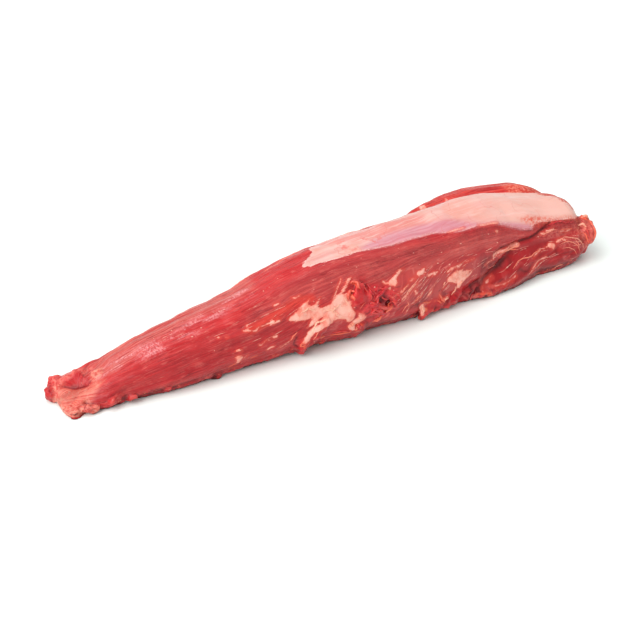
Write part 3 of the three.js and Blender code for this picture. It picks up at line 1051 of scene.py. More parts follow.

# %% [markdown]
# The torn tissue is raw red, with painted shade in its hole and its gaps; an oval muscle end
# shows beside it, and crimson marks fresh cut muscle. Thin gaps and creases elsewhere get the
# same painted shade. The orange rims are the edges of flaps that have started to dry. They
# belong to the edges alone, so they fade out on the cut face of the knob.

# %% Zones of the tear and the cut edges
TORN = [(-8, 36), (8, 36), (14, 28), (32, 22), (42, 12), (42, -10), (34, -20), (16, -18), (0, -8)]
OVAL = [(-4, 23), (0, 30), (8, 31), (12, 23), (11, 14), (4, 5), (-2, 6), (-5, 15)]
# the hole and the thin gaps and creases below are pressed in and painted with shade
HOLE = [(22, 13), (28, 13), (35, 4), (35, -3), (30, -5), (25, 0), (20, 8)]
SHADED_GAP_LINES = [
    ([(18, 17), (25, 18)], 0.8),
    ([(35, 1), (37, -5), (39, -8)], 1.0),
    ([(7, -5), (11, -4), (12, -1)], 0.8),
    ([(18, -21), (21, -19), (24, -15)], 0.8),
    ([(34, 16), (41, 15), (46, 14)], 0.6),
    ([(65, -16), (68, -24), (70, -34)], 1.2),
    ([(104, -26), (107, -24), (111, -25), (116, -32)], 0.5),
    ([(109, -21), (112, -24), (118, -34)], 0.5),
    ([(130, -22), (132, -26), (129, -30)], 0.7),
    ([(88, -9), (95, -5), (100, -5)], 0.5),
    ([(137, -26), (141, -23), (141, -20)], 0.4),
    ([(-61, -6), (-63, -12), (-63, -19), (-60, -24)], 1.2),
    ([(23, 50), (31, 52), (41, 52), (51, 53)], 0.4),
    ([(-41, 121), (-31, 118), (-23, 117), (-14, 120)], 0.5),
    ([(240, 138), (243, 137), (247, 137)], 0.4),
    ([(89, -10), (92, -8), (95, -6)], 0.5),
    ([(212, -18), (221, -13), (231, -7), (238, -3)], 0.4),
    ([(223, -17), (231, -14), (242, -8), (249, -6)], 0.4),
    ([(238, -21), (246, -17), (253, -13), (258, -12)], 0.5),
    ([(204, -18), (215, -12), (226, -8)], 0.4),
    ([(31, 51), (46, 47), (54, 47), (65, 46), (77, 48), (90, 50)], 0.5),
    ([(-113, 39), (-104, 39), (-96, 41)], 0.5),
    ([(-76, 30), (-66, 34), (-56, 38)], 0.5),
    ([(208, 34), (209, 30), (206, 27), (196, 29)], 0.4),
    ([(153, 7), (162, 2), (170, -6)], 0.6),
    ([(150, 1), (160, -2), (170, -12)], 0.5),
    ([(-42, -24), (-33, -27), (-20, -28), (-8, -28)], 0.6),
]
CRIMSON = [
    ([(-57, -4), (-58, -12), (-58, -24)], 3),
    ([(119, 121), (133, 121), (148, 119), (161, 116), (174, 112), (192, 111), (212, 116)], 3.5),
    ([(-236, -26), (-226, -34), (-214, -36)], 3),
    ([(104, -20), (108, -26), (108, -36)], 4),
    ([(116, -14), (120, -24), (118, -34)], 4),
    ([(80, -22), (90, -20)], 4),
    ([(160, 2), (172, 2), (184, -4)], 2.5),
    ([(150, -19), (158, -15), (169, -15), (180, -19)], 3.5),
    ([(-106, -4), (-102, -3), (-98, -4)], 0.9),
    ([(227, 8), (232, 10), (235, 9)], 1.6),
    ([(-276, 172), (-272, 150)], 6),
]
ORANGE_RIMS = [
    ([(-55, -13), (-56, -16), (-55, -19), (-55, -23)], 0.9),
    ([(-50, -13), (-51, -18), (-54, -22)], 0.8),
    ([(-116, -15), (-120, -18), (-124, -20)], 1.2),
    ([(-104, -18), (-99, -16)], 1.0),
    ([(-34, -24), (-30, -26)], 0.8),
    ([(-24, -27), (-16, -27)], 0.8),
    ([(0, -17), (4, -18)], 0.8),
    ([(-2, -24), (3, -25)], 0.8),
    ([(-8, 24), (-6, 25), (-5, 20)], 1.4),
    ([(-1, 37), (2, 35), (2, 29)], 1.2),
    ([(72, -28), (76, -26)], 1.2),
    ([(88, -14), (92, -20), (98, -22)], 0.8),
    ([(76, -21), (82, -20), (88, -21)], 0.8),
    ([(275, 38), (281, 30), (283, 12), (278, -10)], 2.2),
    ([(132, -28), (140, -27), (150, -28)], 0.9),
    ([(-60, 122), (-37, 127), (-24, 130), (-2, 133)], 1.4),
]
crimson = np.maximum(strokes(here, CRIMSON), inside(here, OVAL))
off_end = 1 - smoothstep(0.5, 0.85, normals_of(meat_mesh)[:, 0])
torn_zones = {
    "torn": area(TORN, -4, 4),
    "oval": area(OVAL, -2, 2),
    "shaded_gap": np.maximum(
        area(HOLE, -2, 2), smoothstep(-0.3, 1, strokes(here, SHADED_GAP_LINES))),
    "crimson": smoothstep(-1, 3, crimson),
    "orange_rim": off_end * smoothstep(-0.4, 1, strokes(here, ORANGE_RIMS)),
}
zones.update(torn_zones)
print("zones of the tear:", ", ".join(torn_zones))

# %% [markdown]
# The butt has the most kinds of surface: the front lobe in the shade of the cleft, its marbled
# end, the knob, the ragged rim of the silverskin, and the orange fat below that rim. Two more
# zones, red speckles and pink streaks, lie on the silverskin near its tip.

# %% Zones of the butt and the silverskin
LOBE = [
    (165, -6), (187, 11), (212, 15), (235, 11), (255, 8), (266, 0), (266, -30), (200, -34),
    (140, -28), (146, -14),
]
SHADED = [
    (145, 5), (156, 15), (177, 11), (182, 3), (168, -12), (156, -19), (143, -24), (138, -20),
]
CLEFT = [
    (160, 9), (170, 13), (186, 13), (196, 15), (205, 16), (212, 20), (219, 25), (225, 30),
    (232, 34),
]
CLEFT_END = [(225, 30), (232, 33), (239, 34), (250, 34)]
GROOVE = [(133, -26), (148, -18), (165, -9), (177, 1), (187, 13)]
MARBLED = [(238, 9), (247, 11), (255, 9), (268, 1), (270, -14), (253, -11), (240, -3)]
MOTTLED = [
    (212, 16), (221, 25), (238, 27), (262, 26), (268, 12), (255, 11), (238, 12), (224, 12),
]
KNOB = [(262, 36), (290, 40), (290, -20), (272, -20), (264, 0), (262, 20)]
RED_RIM = [(236, 128), (247, 120), (256, 92), (264, 74), (271, 58), (276, 46)]
NICK = [(163, 82), (166, 80), (169, 79)]
RAG_END = [(222, 110), (232, 150), (266, 140), (266, 96), (246, 96), (236, 112)]
ORANGE_END = [
    (196, 45), (208, 48), (223, 46), (240, 42), (268, 41), (269, 33), (244, 34), (227, 34),
    (218, 31), (209, 32), (207, 36), (199, 40),
]
SPECKLED = [(4, 88), (8, 110), (36, 112), (56, 98), (62, 80), (36, 76), (12, 78)]
PINKISH = [(4, 132), (30, 116), (56, 104), (95, 98)]
butt_zones = {
    "lobe": area(LOBE, -4, 4),
    "shaded": area(SHADED, -3, 4),
    # the cleft and the groove are pressed in, and they and the cleft's end get painted shade
    "cleft": band(CLEFT, 3.4, 3.4),
    "cleft_end_shade": band(CLEFT_END, 2.5, 2.5),
    "groove": band(GROOVE, 5, 5),
    "marbled": area(MARBLED, -4, 5),
    "mottled": area(MOTTLED, -4, 3),
    "knob": area(KNOB, -2, 3),
    "red_rim": smoothstep(0, 5, np.maximum(near(here, RED_RIM, 7.5), near(here, NICK, 2.4))),
    "rag_end": area(RAG_END, -4, 3),
    "orange_end": area(ORANGE_END, -3, 4),
    "speckled": area(SPECKLED, -3, 5),
    "pinkish": band(PINKISH, 16, 8),
}
zones.update(butt_zones)
print({name: round(float(zone.mean()), 3) for name, zone in zones.items()})

# %% [markdown]
# Relief
#
# Bundles of fibre run along the muscle as shallow ridges, fat stands a little proud, and torn
# and cut places are rough. Bump in the material alone would leave the outline smooth, so this
# relief is real geometry. A Geometry Nodes tree reads the stored zones, makes noise that is
# stretched along the fibres, and moves each point along its normal.


# %% Store the zones on the mesh
def store(mesh, name, values, kind="FLOAT"):
    """Keeps one value for each point of the mesh, under a name that node trees can read."""
    attribute = mesh.attributes.get(name) or mesh.attributes.new(name, kind, "POINT")
    key = "vector" if kind == "FLOAT_VECTOR" else "value"
    attribute.data.foreach_set(key, np.ascontiguousarray(values, np.float32).ravel())


store(meat_mesh, "grain", grain, "FLOAT_VECTOR")
store(meat_mesh, "silverskin", np.clip(silverskin, -10, 10))
store(meat_mesh, "fat", np.clip(fat, -10, 10))
store(meat_mesh, "fat_lines", np.clip(fat_lines, -10, 10))
store(meat_mesh, "lilac", lilac)
for name, zone in zones.items():
    store(meat_mesh, name, zone)
print("attributes:", len(meat_mesh.attributes))


# %% Fibre relief
def named(tree, name, kind="FLOAT"):
    """Reads a stored value of the mesh inside a geometry tree."""
    return make(tree, "GeometryNodeInputNamedAttribute", {"Name": name}, data_type=kind).outputs[0]


tree, start = geometry_tree("fibre_relief", {
    "Bundle Depth": ("Float", 1.0),
    "Fibre Depth": ("Float", 1.0),
    "Torn Depth": ("Float", 1.0),
    "Fat Height": ("Float", 1.0),
    "Sway": ("Float", 1.0),
})
fibres = named(tree, "grain", "FLOAT_VECTOR")
position = make(tree, "GeometryNodeInputPosition").outputs[0]
normal = make(tree, "GeometryNodeInputNormal").outputs[0]
cover = ramp(tree, named(tree, "silverskin"), -2.0, 3.0, 1.0, 0.12, "LINEAR")
fat_cover = ramp(tree, named(tree, "fat"), -0.8, 1.6, how="LINEAR")
bundle = product(tree, wave_noise(tree, fibres, (0.02, 0.2, 1.0), 2.0), start["Bundle Depth"])
strand = product(tree, wave_noise(tree, fibres, (0.04, 0.6, 1.0), 3.0), start["Fibre Depth"])
calm = ramp(tree, named(tree, "redder_lit_top"), 0.0, 1.0, 1.0, 0.55, "LINEAR")
fleshy = product(tree, total(tree, bundle, strand), cover, calm)
smooth_oval = ramp(tree, named(tree, "oval"), 0.0, 1.0, 1.0, 0.2, "LINEAR")
rough_zone = maths(
    tree, "MAXIMUM", product(tree, named(tree, "torn"), smooth_oval), named(tree, "low_edge"))
rough_zone = maths(tree, "MAXIMUM", rough_zone, product(tree, named(tree, "marbled"), 0.35))
rough_zone = maths(tree, "MAXIMUM", rough_zone, product(tree, named(tree, "knob"), 1.3))
rags = total(tree, wave_noise(tree, position, (0.2, 0.2, 0.25), 4.0), product(
    tree, wave_noise(tree, position, (0.55, 0.55, 0.6), 2.0), 0.5))
rags = product(tree, rags, rough_zone, start["Torn Depth"])
lumpy_fat = total(tree, wave_noise(tree, position, (0.16, 0.16, 0.16), 2.0), 0.5)
proud = product(tree, fat_cover, lumpy_fat, start["Fat Height"])
uneven = product(tree, wave_noise(tree, position, (0.028, 0.028, 0.028), 2.0), start["Sway"])
offset = vector_maths(tree, "SCALE", normal, total(tree, fleshy, rags, proud, uneven))
moved = make(tree, "GeometryNodeSetPosition", {"Geometry": start["Geometry"], "Offset": offset})
finish_tree(tree, moved.outputs[0], beef)
print("relief tree:", len(tree.nodes), "nodes")

# %% Apply the relief
smooth_skin = show("smooth_skin", meat_mesh)
relief = grown(smooth_skin, tree, {
    "Bundle Depth": 0.9, "Fibre Depth": 1.1, "Torn Depth": 2.2, "Fat Height": 1.5,
    "Sway": 5.0})
discard(smooth_skin)
print("relief done on", len(relief.vertices), "points")

# %% [markdown]
# The cleft, the creases and the final mesh
#
# The cleft above the front muscle is pressed deeper. Then the script compares each point with
# a smoothed copy of the skin: a point below the copy lies in a crease, and one above it on a
# ridge. The material uses that to paint shade into the creases and a highlight onto the
# ridges. Last, a Decimate modifier takes triangles away where the skin is smooth and keeps
# them where it is rough.

# %% Cleft and creases
HELD = 0.4  # share of its own place that a point keeps in each round
RELAX_ROUNDS = 30


def relaxed(points, edges, rounds):
    """The points after rounds of moving towards the mean of their neighbours."""
    a, b = edges.T
    count = np.bincount(a, minlength=len(points)) + np.bincount(b, minlength=len(points))
    for _ in range(rounds):
        sums = [
            np.bincount(a, points[b, k], len(points)) + np.bincount(b, points[a, k], len(points))
            for k in range(3)]
        points = points * HELD + np.stack(sums, -1) / count[:, None] * (1 - HELD)
    return points


CLEFT_DEPTH = 2.4
GROOVE_DEPTH = 1.8
GAP_DEPTH = 0.8
cleft_depth = CLEFT_DEPTH * zones["cleft"] + GROOVE_DEPTH * zones["groove"]
cleft_depth = cleft_depth + GAP_DEPTH * zones["shaded_gap"]
points, _ = arrays_of(relief)
points = points - normals_of(relief) * cleft_depth[:, None]
points[:, 2] = np.maximum(points[:, 2], 0)
set_points(relief, points)

edges = np.zeros(len(relief.edges) * 2, np.int64)
relief.edges.foreach_get("vertices", edges)
level = relaxed(points, edges.reshape(-1, 2), RELAX_ROUNDS)
ridge = ((points - level) * normals_of(relief)).sum(1)
store(relief, "ridge", np.clip(ridge, -3, 3))
print("creases and ridges in mm:", np.percentile(ridge, [1, 25, 75, 99]).round(2).tolist())

# %% Thin out the smooth parts
MOST_TRIANGLES = 194000
piece = show("dense_skin", relief)
triangles = sum(len(p.vertices) - 2 for p in relief.polygons)
thin_out = piece.modifiers.new("thin_out", "DECIMATE")
thin_out.ratio = min(1.0, MOST_TRIANGLES / triangles)
meat = evaluated_mesh(piece)
discard(piece)
points, faces = arrays_of(meat)
points[:, 2] = np.maximum(points[:, 2], 0)
set_points(meat, points)
print("triangles:", triangles, "thinned to", len(meat.polygons))

# %% [markdown]
# The finish of the meat
#
# Raw beef is a wet, slightly translucent solid. One material covers it all: streaks of red
# that follow the fibres, then the zones laid over them in the order in which they lie on the
# real meat, with the silverskin and the fat last. Their edges come from the stored distances
# plus noise. Subsurface scattering lets light bleed through, and a thin coat gives the wet
# shine.


# %% Shader helpers
def read(tree, name):
    """A stored value of the mesh, inside a shader."""
    return make(tree, "ShaderNodeAttribute", attribute_name=name).outputs["Fac"]


def thin_lines(tree, value, width):
    """1 where a noise crosses its middle value, which draws thin winding lines."""
    return ramp(tree, maths(tree, "ABSOLUTE", maths(tree, "SUBTRACT", value, 0.5)), width, 0.0)


def blend(tree, factor, below, above, how="MIX"):
    """One colour laid over another."""
    node = make(tree, "ShaderNodeMix", {0: factor, 6: below, 7: above},
                data_type="RGBA", blend_type=how)
    return node.outputs[2]


def linear(red, green, blue):
    """A colour as it looks on a screen, from 0 to 255, in the linear values that Blender uses."""
    share = np.array([red, green, blue]) / 255
    value = np.where(share <= 0.04045, share / 12.92, ((share + 0.055) / 1.055) ** 2.4)
    return (*value.tolist(), 1.0)


def wander(tree, value, size):
    """Noise moved to lie round zero, reaching half that size to each side at most."""
    return product(tree, maths(tree, "SUBTRACT", value, 0.5), size)


def two_tone(tree, pattern, low, high, first, second):
    """The first colour, turning into the second as a pattern goes from low to high."""
    return blend(tree, ramp(tree, pattern, low, high), linear(*first), linear(*second))


def darkened(tree, colour, mask, multiplier):
    """A colour multiplied by darker values where a mask is: dark grain, and painted shade."""
    return blend(tree, mask, colour, (*multiplier, 1), "MULTIPLY")


def painted(tree, colour, zone, strength, tone):
    """A colour with the tone of one stored zone laid over it."""
    return blend(tree, product(tree, read(tree, zone), strength), colour, tone)


print("a mid grey of 128 on the screen is", round(linear(128, 128, 128)[0], 3), "in linear light")

# %% Patterns of the beef
beef.use_nodes = True
tree = beef.node_tree
tree.nodes.clear()

place = make(tree, "ShaderNodeTexCoord").outputs["Object"]
place = vector_maths(tree, "SCALE", place, 1 / MM)
fibres = make(tree, "ShaderNodeAttribute", attribute_name="grain").outputs["Vector"]
sway = wave_noise(tree, place, (0.02, 0.02, 0.02), 2.0)
sway = make(tree, "ShaderNodeCombineXYZ", {"Y": product(tree, sway, 9.0)}).outputs[0]
fibres = vector_maths(tree, "ADD", fibres, sway)
broad = streaky(tree, fibres, (0.01, 0.14, 1.0), 4.0)
streak = streaky(tree, fibres, (0.022, 0.5, 1.0), 4.0, 0.6)
fine = streaky(tree, fibres, (0.04, 0.95, 1.0), 3.0, 0.6)
dark_fibres = thin_lines(tree, streaky(tree, fibres, (0.02, 0.34, 1.0), 3.0), 0.06)
pale_fibres = thin_lines(tree, streaky(tree, fibres, (0.026, 0.29, 1.0), 3.0), 0.04)
dashes = streaky(tree, place, (0.1, 0.1, 0.1), 3.0)
seams = streaky(tree, fibres, (0.011, 0.2, 1.0), 2.0)
crosswise = streaky(tree, fibres, (0.6, 0.2, 1.0), 3.0, 0.7)
cloud = streaky(tree, place, (0.045, 0.045, 0.045), 3.0)
blotch = streaky(tree, place, (0.16, 0.16, 0.16), 3.0, 0.6)
grit = streaky(tree, place, (0.42, 0.42, 0.42), 3.0, 0.6)
speckle = streaky(tree, place, (1.1, 1.1, 1.1), 2.0)
print("patterns:", len(tree.nodes), "nodes")

# %% [markdown]
# Fresh beef isn't one red, and each muscle has its own tone. The top of the tail half is a
# brighter red, partly its own and partly painted light on the faces that look up. Its far back
# edge is painted duller and browner as shade, and a patch by the groove is painted in shade. A
# painted texture could show that, but here each stored zone mixes its own two tones over the
# colour below, so each tone can be changed alone.

# %% Reds of the muscles
ridge = read(tree, "ridge")
broad_tones = ramp(tree, broad, 0.3, 0.7)
colour = blend(tree, broad_tones, linear(172, 28, 36), linear(190, 44, 46))
colour = blend(tree, product(tree, ramp(tree, cloud, 0.45, 0.7), 0.5), colour, linear(156, 22, 30))
# brighter red on the top of the tail half, partly painted light
redder_lit_top = blend(tree, broad_tones, linear(192, 26, 32), linear(202, 52, 52))
colour = blend(tree, read(tree, "redder_lit_top"), colour, redder_lit_top)
# painted shade along the far back edge of the tail half
back_edge_shade = two_tone(tree, streak, 0.35, 0.65, (188, 54, 52), (212, 114, 102))
colour = painted(tree, colour, "back_edge_shade", 0.8, back_edge_shade)
dusky = blend(tree, broad_tones, linear(172, 52, 54), linear(198, 80, 74))
colour = painted(tree, colour, "dusky", 0.85, dusky)
shaded = two_tone(tree, streak, 0.4, 0.62, (126, 22, 28), (176, 66, 60))
colour = painted(tree, colour, "shaded", 0.7, shaded)
wing_red = two_tone(tree, streak, 0.4, 0.58, (186, 26, 26), (214, 64, 54))
colour = blend(tree, read(tree, "wing"), colour, wing_red)
colour = painted(tree, colour, "orange", 0.75, linear(212, 54, 40))
print("reds of the muscles:", len(tree.nodes), "nodes so far")

# %% Tones of the butt, the tail and the cut edges
mottles = ramp(tree, grit, 0.42, 0.6)
curls = thin_lines(tree, streaky(tree, place, (0.08, 0.08, 0.08), 3.0, 0.6), 0.03)
marbled = blend(tree, mottles, linear(178, 46, 46), linear(206, 98, 86))
colour = painted(tree, colour, "mottled", 0.7, marbled)
marbled = blend(tree, curls, marbled, linear(226, 146, 128))
colour = painted(tree, colour, "marbled", 0.8, marbled)
knob_tone = two_tone(tree, blotch, 0.38, 0.58, (162, 34, 36), (200, 92, 78))
knob_tone = blend(tree, ramp(tree, grit, 0.54, 0.66), knob_tone, linear(226, 130, 108))
colour = painted(tree, colour, "knob", 0.8, knob_tone)
pale = two_tone(tree, streak, 0.42, 0.58, (222, 84, 68), (238, 142, 122))
pale = blend(tree, product(tree, ramp(tree, grit, 0.5, 0.64), 0.6), pale, linear(234, 158, 136))
cream_edge = product(tree, read(tree, "cream_edge"), ramp(tree, grit, 0.4, 0.6))
pale = blend(tree, product(tree, cream_edge, 0.8), pale, linear(232, 166, 142))
colour = painted(tree, colour, "pale", 0.9, pale)
lip_tone = two_tone(tree, grit, 0.42, 0.6, (206, 62, 58), (230, 124, 110))
colour = painted(tree, colour, "lip", 0.8, lip_tone)
colour = painted(tree, colour, "under_lip", 0.8, linear(194, 32, 40))
lump_tone = two_tone(tree, grit, 0.36, 0.6, (214, 84, 68), (232, 148, 128))
colour = painted(tree, colour, "pale_lump", 0.9, lump_tone)
rag_tone = two_tone(tree, grit, 0.44, 0.62, (208, 66, 50), (228, 132, 108))
colour = blend(tree, read(tree, "rag_end"), colour, rag_tone)
colour = blend(tree, read(tree, "red_rim"), colour, rag_tone)
# the lower edge: its own deep crimson with orange spots, and painted shade in its creases
low_edge_colour_and_shade = two_tone(tree, ridge, -0.3, 0.6, (104, 8, 18), (196, 32, 42))
low_edge_colour_and_shade = blend(tree, ramp(tree, blotch, 0.57, 0.64), low_edge_colour_and_shade, linear(226, 110, 80))
colour = painted(tree, colour, "low_edge", 0.75, low_edge_colour_and_shade)
# torn tissue: raw red, with painted shade in its creases and painted light on its ridges
torn_colour_and_shade = two_tone(tree, ridge, -0.5, 0.7, (172, 18, 30), (232, 62, 66))
colour = painted(tree, colour, "torn", 0.75, torn_colour_and_shade)
print("with the cut edges:", len(tree.nodes), "nodes so far")

# %% [markdown]
# Fibres show as fine streaks along the muscle, with dark seams between some bundles, and
# painted shade in the creases where the skin folds in. A picture of meat would repeat and
# stretch. Noise drawn out along the stored grain doesn't, and the painted shade of the creases
# comes from the measured ridge value.

# %% Fibre streaks and seams
colour = darkened(tree, colour, ramp(tree, streak, 0.52, 0.36), (0.9, 0.79, 0.82))
pale_streaks = product(tree, ramp(tree, streak, 0.56, 0.76), 0.3)
colour = blend(tree, pale_streaks, colour, linear(216, 104, 96))
fine_dark = product(tree, ramp(tree, fine, 0.52, 0.3), 0.85)
colour = darkened(tree, colour, fine_dark, (0.78, 0.62, 0.67))
fine_pale = product(tree, ramp(tree, fine, 0.54, 0.74), 0.35)
colour = blend(tree, fine_pale, colour, linear(220, 116, 108))
swept = read(tree, "swept")
strength = ramp(tree, swept, 0.0, 1.0, 0.28, 0.85)
lines = product(tree, dark_fibres, ramp(tree, dashes, 0.38, 0.52), strength)
colour = darkened(tree, colour, lines, (0.62, 0.38, 0.46))
strength = ramp(tree, swept, 0.0, 1.0, 0.3, 0.6)
lines = product(tree, pale_fibres, ramp(tree, dashes, 0.52, 0.4), strength)
colour = blend(tree, lines, colour, linear(226, 124, 112))
patchy = ramp(tree, cloud, 0.42, 0.58)
dark_seams = product(tree, thin_lines(tree, seams, 0.018), patchy)
colour = darkened(tree, colour, product(tree, dark_seams, 0.7), (0.5, 0.3, 0.38))
print("with the streaks:", len(tree.nodes), "nodes so far")

# %% Painted shade in creases and gaps, painted highlights and a painted wet sheen
# painted shade in the creases, weaker on the knob
off_knob = ramp(tree, read(tree, "knob"), 0.0, 1.0, 1.0, 0.45)
crease_shade = product(tree, ramp(tree, ridge, -0.15, -1.4), off_knob)
colour = darkened(tree, colour, crease_shade, (0.4, 0.18, 0.23))
# painted highlight on the ridges
colour = blend(tree, product(tree, ramp(tree, ridge, 0.3, 1.6), 0.3), colour, linear(222, 92, 80))
colour = painted(tree, colour, "crimson", 0.75, linear(184, 18, 26))
lobe_shade = product(tree, read(tree, "lobe"), 0.9)
colour = darkened(tree, colour, lobe_shade, (0.74, 0.46, 0.53))
# painted highlight: broken patches of pinkish-white wet sheen with crosswise ripples
sheen_patches = streaky(tree, fibres, (0.045, 0.12, 1.0), 4.0, 0.65)
sheen_highlight = product(tree, read(tree, "sheen_highlight"), ramp(tree, sheen_patches, 0.44, 0.6))
ripples = product(
    tree, ramp(tree, crosswise, 0.4, 0.6, 0.15, 1.0), ramp(tree, fine, 0.35, 0.6, 0.3, 1.0))
colour = blend(tree, product(tree, sheen_highlight, ripples, 0.9), colour, linear(232, 156, 158))
colour = blend(tree, read(tree, "orange_rim"), colour, linear(224, 84, 58))
# painted shade in the cleft, the groove and the end of the cleft
cleft_shade = maths(tree, "MAXIMUM", read(tree, "cleft"), product(tree, read(tree, "groove"), 0.6))
colour = darkened(tree, colour, product(tree, cleft_shade, 0.8), (0.5, 0.32, 0.4))
cleft_end_shade = product(tree, read(tree, "cleft_end_shade"), ramp(tree, blotch, 0.35, 0.6, 0.3, 0.9))
colour = blend(tree, cleft_end_shade, colour, linear(140, 24, 30))
# painted shade in the hole, the gaps and the thin creases
colour = painted(tree, colour, "shaded_gap", 0.8, linear(116, 20, 28))
# painted shade in the crease under the tail's lip and in its gaps
colour = painted(tree, colour, "fold", 0.85, linear(140, 14, 28))
# painted shade where the meat meets the table
colour = darkened(tree, colour, read(tree, "contact_shade"), (0.32, 0.16, 0.2))
print("with the creases:", len(tree.nodes), "nodes so far")

# %% [markdown]
# Silverskin is a thin, tough, pearly sheet. Its edge is frayed where the knife lifted it, and
# the red shows through it as lilac where it is thinnest. It could be a sheet of its own over
# the meat, but it is thinner than the mesh could show. So the material lays it over the red,
# and noise frays its stored edge, mostly in long streaks along the fibres.

# %% Edge of the silverskin
along_edge = wander(tree, streak, 6.0)
round_edge = wander(tree, grit, 3.0)
skin_edge = total(tree, read(tree, "silverskin"), along_edge, round_edge)
rim_noise = maths(tree, "ADD", wander(tree, grit, 4.0), blotch)
skin_edge = total(tree, skin_edge, product(tree, read(tree, "red_rim"), rim_noise, -9.0))
speckles = product(tree, read(tree, "speckled"), ramp(tree, blotch, 0.52, 0.66))
lilac = read(tree, "lilac")
skin_edge = total(tree, skin_edge, product(tree, lilac, 1.5))
soft_edge = product(tree, ramp(tree, skin_edge, -3.0, 3.5), lilac)
sharp_edge = product(tree, ramp(tree, skin_edge, -0.5, 0.6), maths(tree, "SUBTRACT", 1.0, lilac))
skin_mask = maths(tree, "ADD", soft_edge, sharp_edge)
print("with the edge of the silverskin:", len(tree.nodes), "nodes so far")

# %% Tones of the silverskin
skin_tone = blend(tree, broad_tones, linear(216, 150, 142), linear(224, 180, 170))
warm_clouds = product(tree, ramp(tree, cloud, 0.45, 0.65), 0.5)
skin_tone = blend(tree, warm_clouds, skin_tone, linear(218, 144, 126))
far_right = ramp(tree, make(tree, "ShaderNodeSeparateXYZ", {0: place}).outputs[0], 120.0, 200.0)
skin_tone = blend(tree, product(tree, far_right, 0.75), skin_tone, linear(230, 176, 162))
glints = product(tree, ramp(tree, streak, 0.5, 0.7), 0.4)
skin_tone = blend(tree, glints, skin_tone, linear(236, 194, 184))
pink_streaks = product(tree, read(tree, "pinkish"), ramp(tree, streak, 0.64, 0.46))
skin_tone = blend(tree, product(tree, pink_streaks, 0.6), skin_tone, linear(214, 112, 106))
lilac_streaks = ramp(tree, streak, 0.36, 0.62)
lilac_tone = blend(tree, lilac_streaks, linear(198, 118, 130), linear(208, 142, 152))
skin_tone = blend(tree, ramp(tree, lilac, 0.0, 1.0, 0.0, 0.92), skin_tone, lilac_tone)
veins = thin_lines(tree, streaky(tree, place, (0.03, 0.03, 0.03), 2.0), 0.005)
colour = blend(tree, skin_mask, colour, skin_tone)
colour = blend(tree, product(tree, skin_mask, veins, 0.5), colour, linear(204, 92, 82))
colour = blend(tree, product(tree, skin_mask, speckles, 0.75), colour, linear(214, 104, 96))
orange_end = product(tree, read(tree, "orange_end"), ramp(tree, grit, 0.38, 0.6, 0.2, 0.95))
colour = blend(tree, orange_end, colour, linear(216, 88, 68))
# painted highlight: pale specks along the edge of the silverskin
near_edge = ramp(tree, skin_edge, 3.0, 0.5)
edge_highlight = product(tree, skin_mask, near_edge, ramp(tree, speckle, 0.48, 0.6))
colour = blend(tree, product(tree, edge_highlight, 0.7), colour, linear(238, 198, 190))
print("with the silverskin:", len(tree.nodes), "nodes so far")

# %% [markdown]
# The fat is cream to rose, soft and a little folded. Its thickness is already in the relief.
# The material gives it a frayed edge, a warm halo where it thins out over the red, and painted
# shade along fine folds and in its creases. An edge this ragged could be modelled, but it would
# take far more faces.

# %% Edge of the fat
fat_along = wander(tree, streak, 4.0)
fat_round = wander(tree, blotch, 2.5)
fat_frayed = wander(tree, grit, 3.0)
fat_edge = total(tree, read(tree, "fat"), fat_along, fat_round, fat_frayed)
fat_edge = total(tree, fat_edge, wander(tree, fine, 2.0))
line_edge = total(tree, read(tree, "fat_lines"), wander(tree, grit, 1.6))
line_edge = total(tree, line_edge, wander(tree, blotch, 1.6))
any_fat = maths(tree, "MAXIMUM", fat_edge, line_edge)
halo = product(tree, ramp(tree, any_fat, -2.4, -0.2), 0.5)
colour = blend(tree, halo, colour, linear(210, 66, 52))
fat_mask = ramp(tree, any_fat, -0.4, 0.6)
print("with the edge of the fat:", len(tree.nodes), "nodes so far")

# %% Tones of the fat
fat_tone = two_tone(tree, blotch, 0.3, 0.65, (230, 126, 108), (240, 168, 150))
pale_clouds = product(tree, ramp(tree, cloud, 0.45, 0.6), 0.6)
fat_tone = blend(tree, pale_clouds, fat_tone, linear(246, 190, 174))
fat_rim = product(tree, ramp(tree, any_fat, 2.2, 0.4), ramp(tree, grit, 0.45, 0.6))
fat_tone = blend(tree, product(tree, fat_rim, 0.5), fat_tone, linear(226, 104, 84))
# painted shade along fine folds of the fat and in its creases
fat_fold_shade = thin_lines(tree, streaky(tree, place, (0.09, 0.09, 0.09), 2.0), 0.015)
fat_tone = blend(tree, product(tree, fat_fold_shade, 0.45), fat_tone, linear(206, 84, 70))
fat_crease_shade = product(tree, ramp(tree, ridge, -0.1, -0.9), 0.6)
fat_tone = blend(tree, fat_crease_shade, fat_tone, linear(196, 78, 64))
colour = blend(tree, fat_mask, colour, fat_tone)
print("with the fat:", len(tree.nodes), "nodes so far")

# %% [markdown]
# The next cell joins colour, bump and gloss in one shader. The bump is only for what is too
# fine for the mesh, such as single fibres and grit. It is faint on the silverskin and weaker
# on the fat, because they are smoother. The gloss varies, because raw meat is wetter in some
# places than in others.

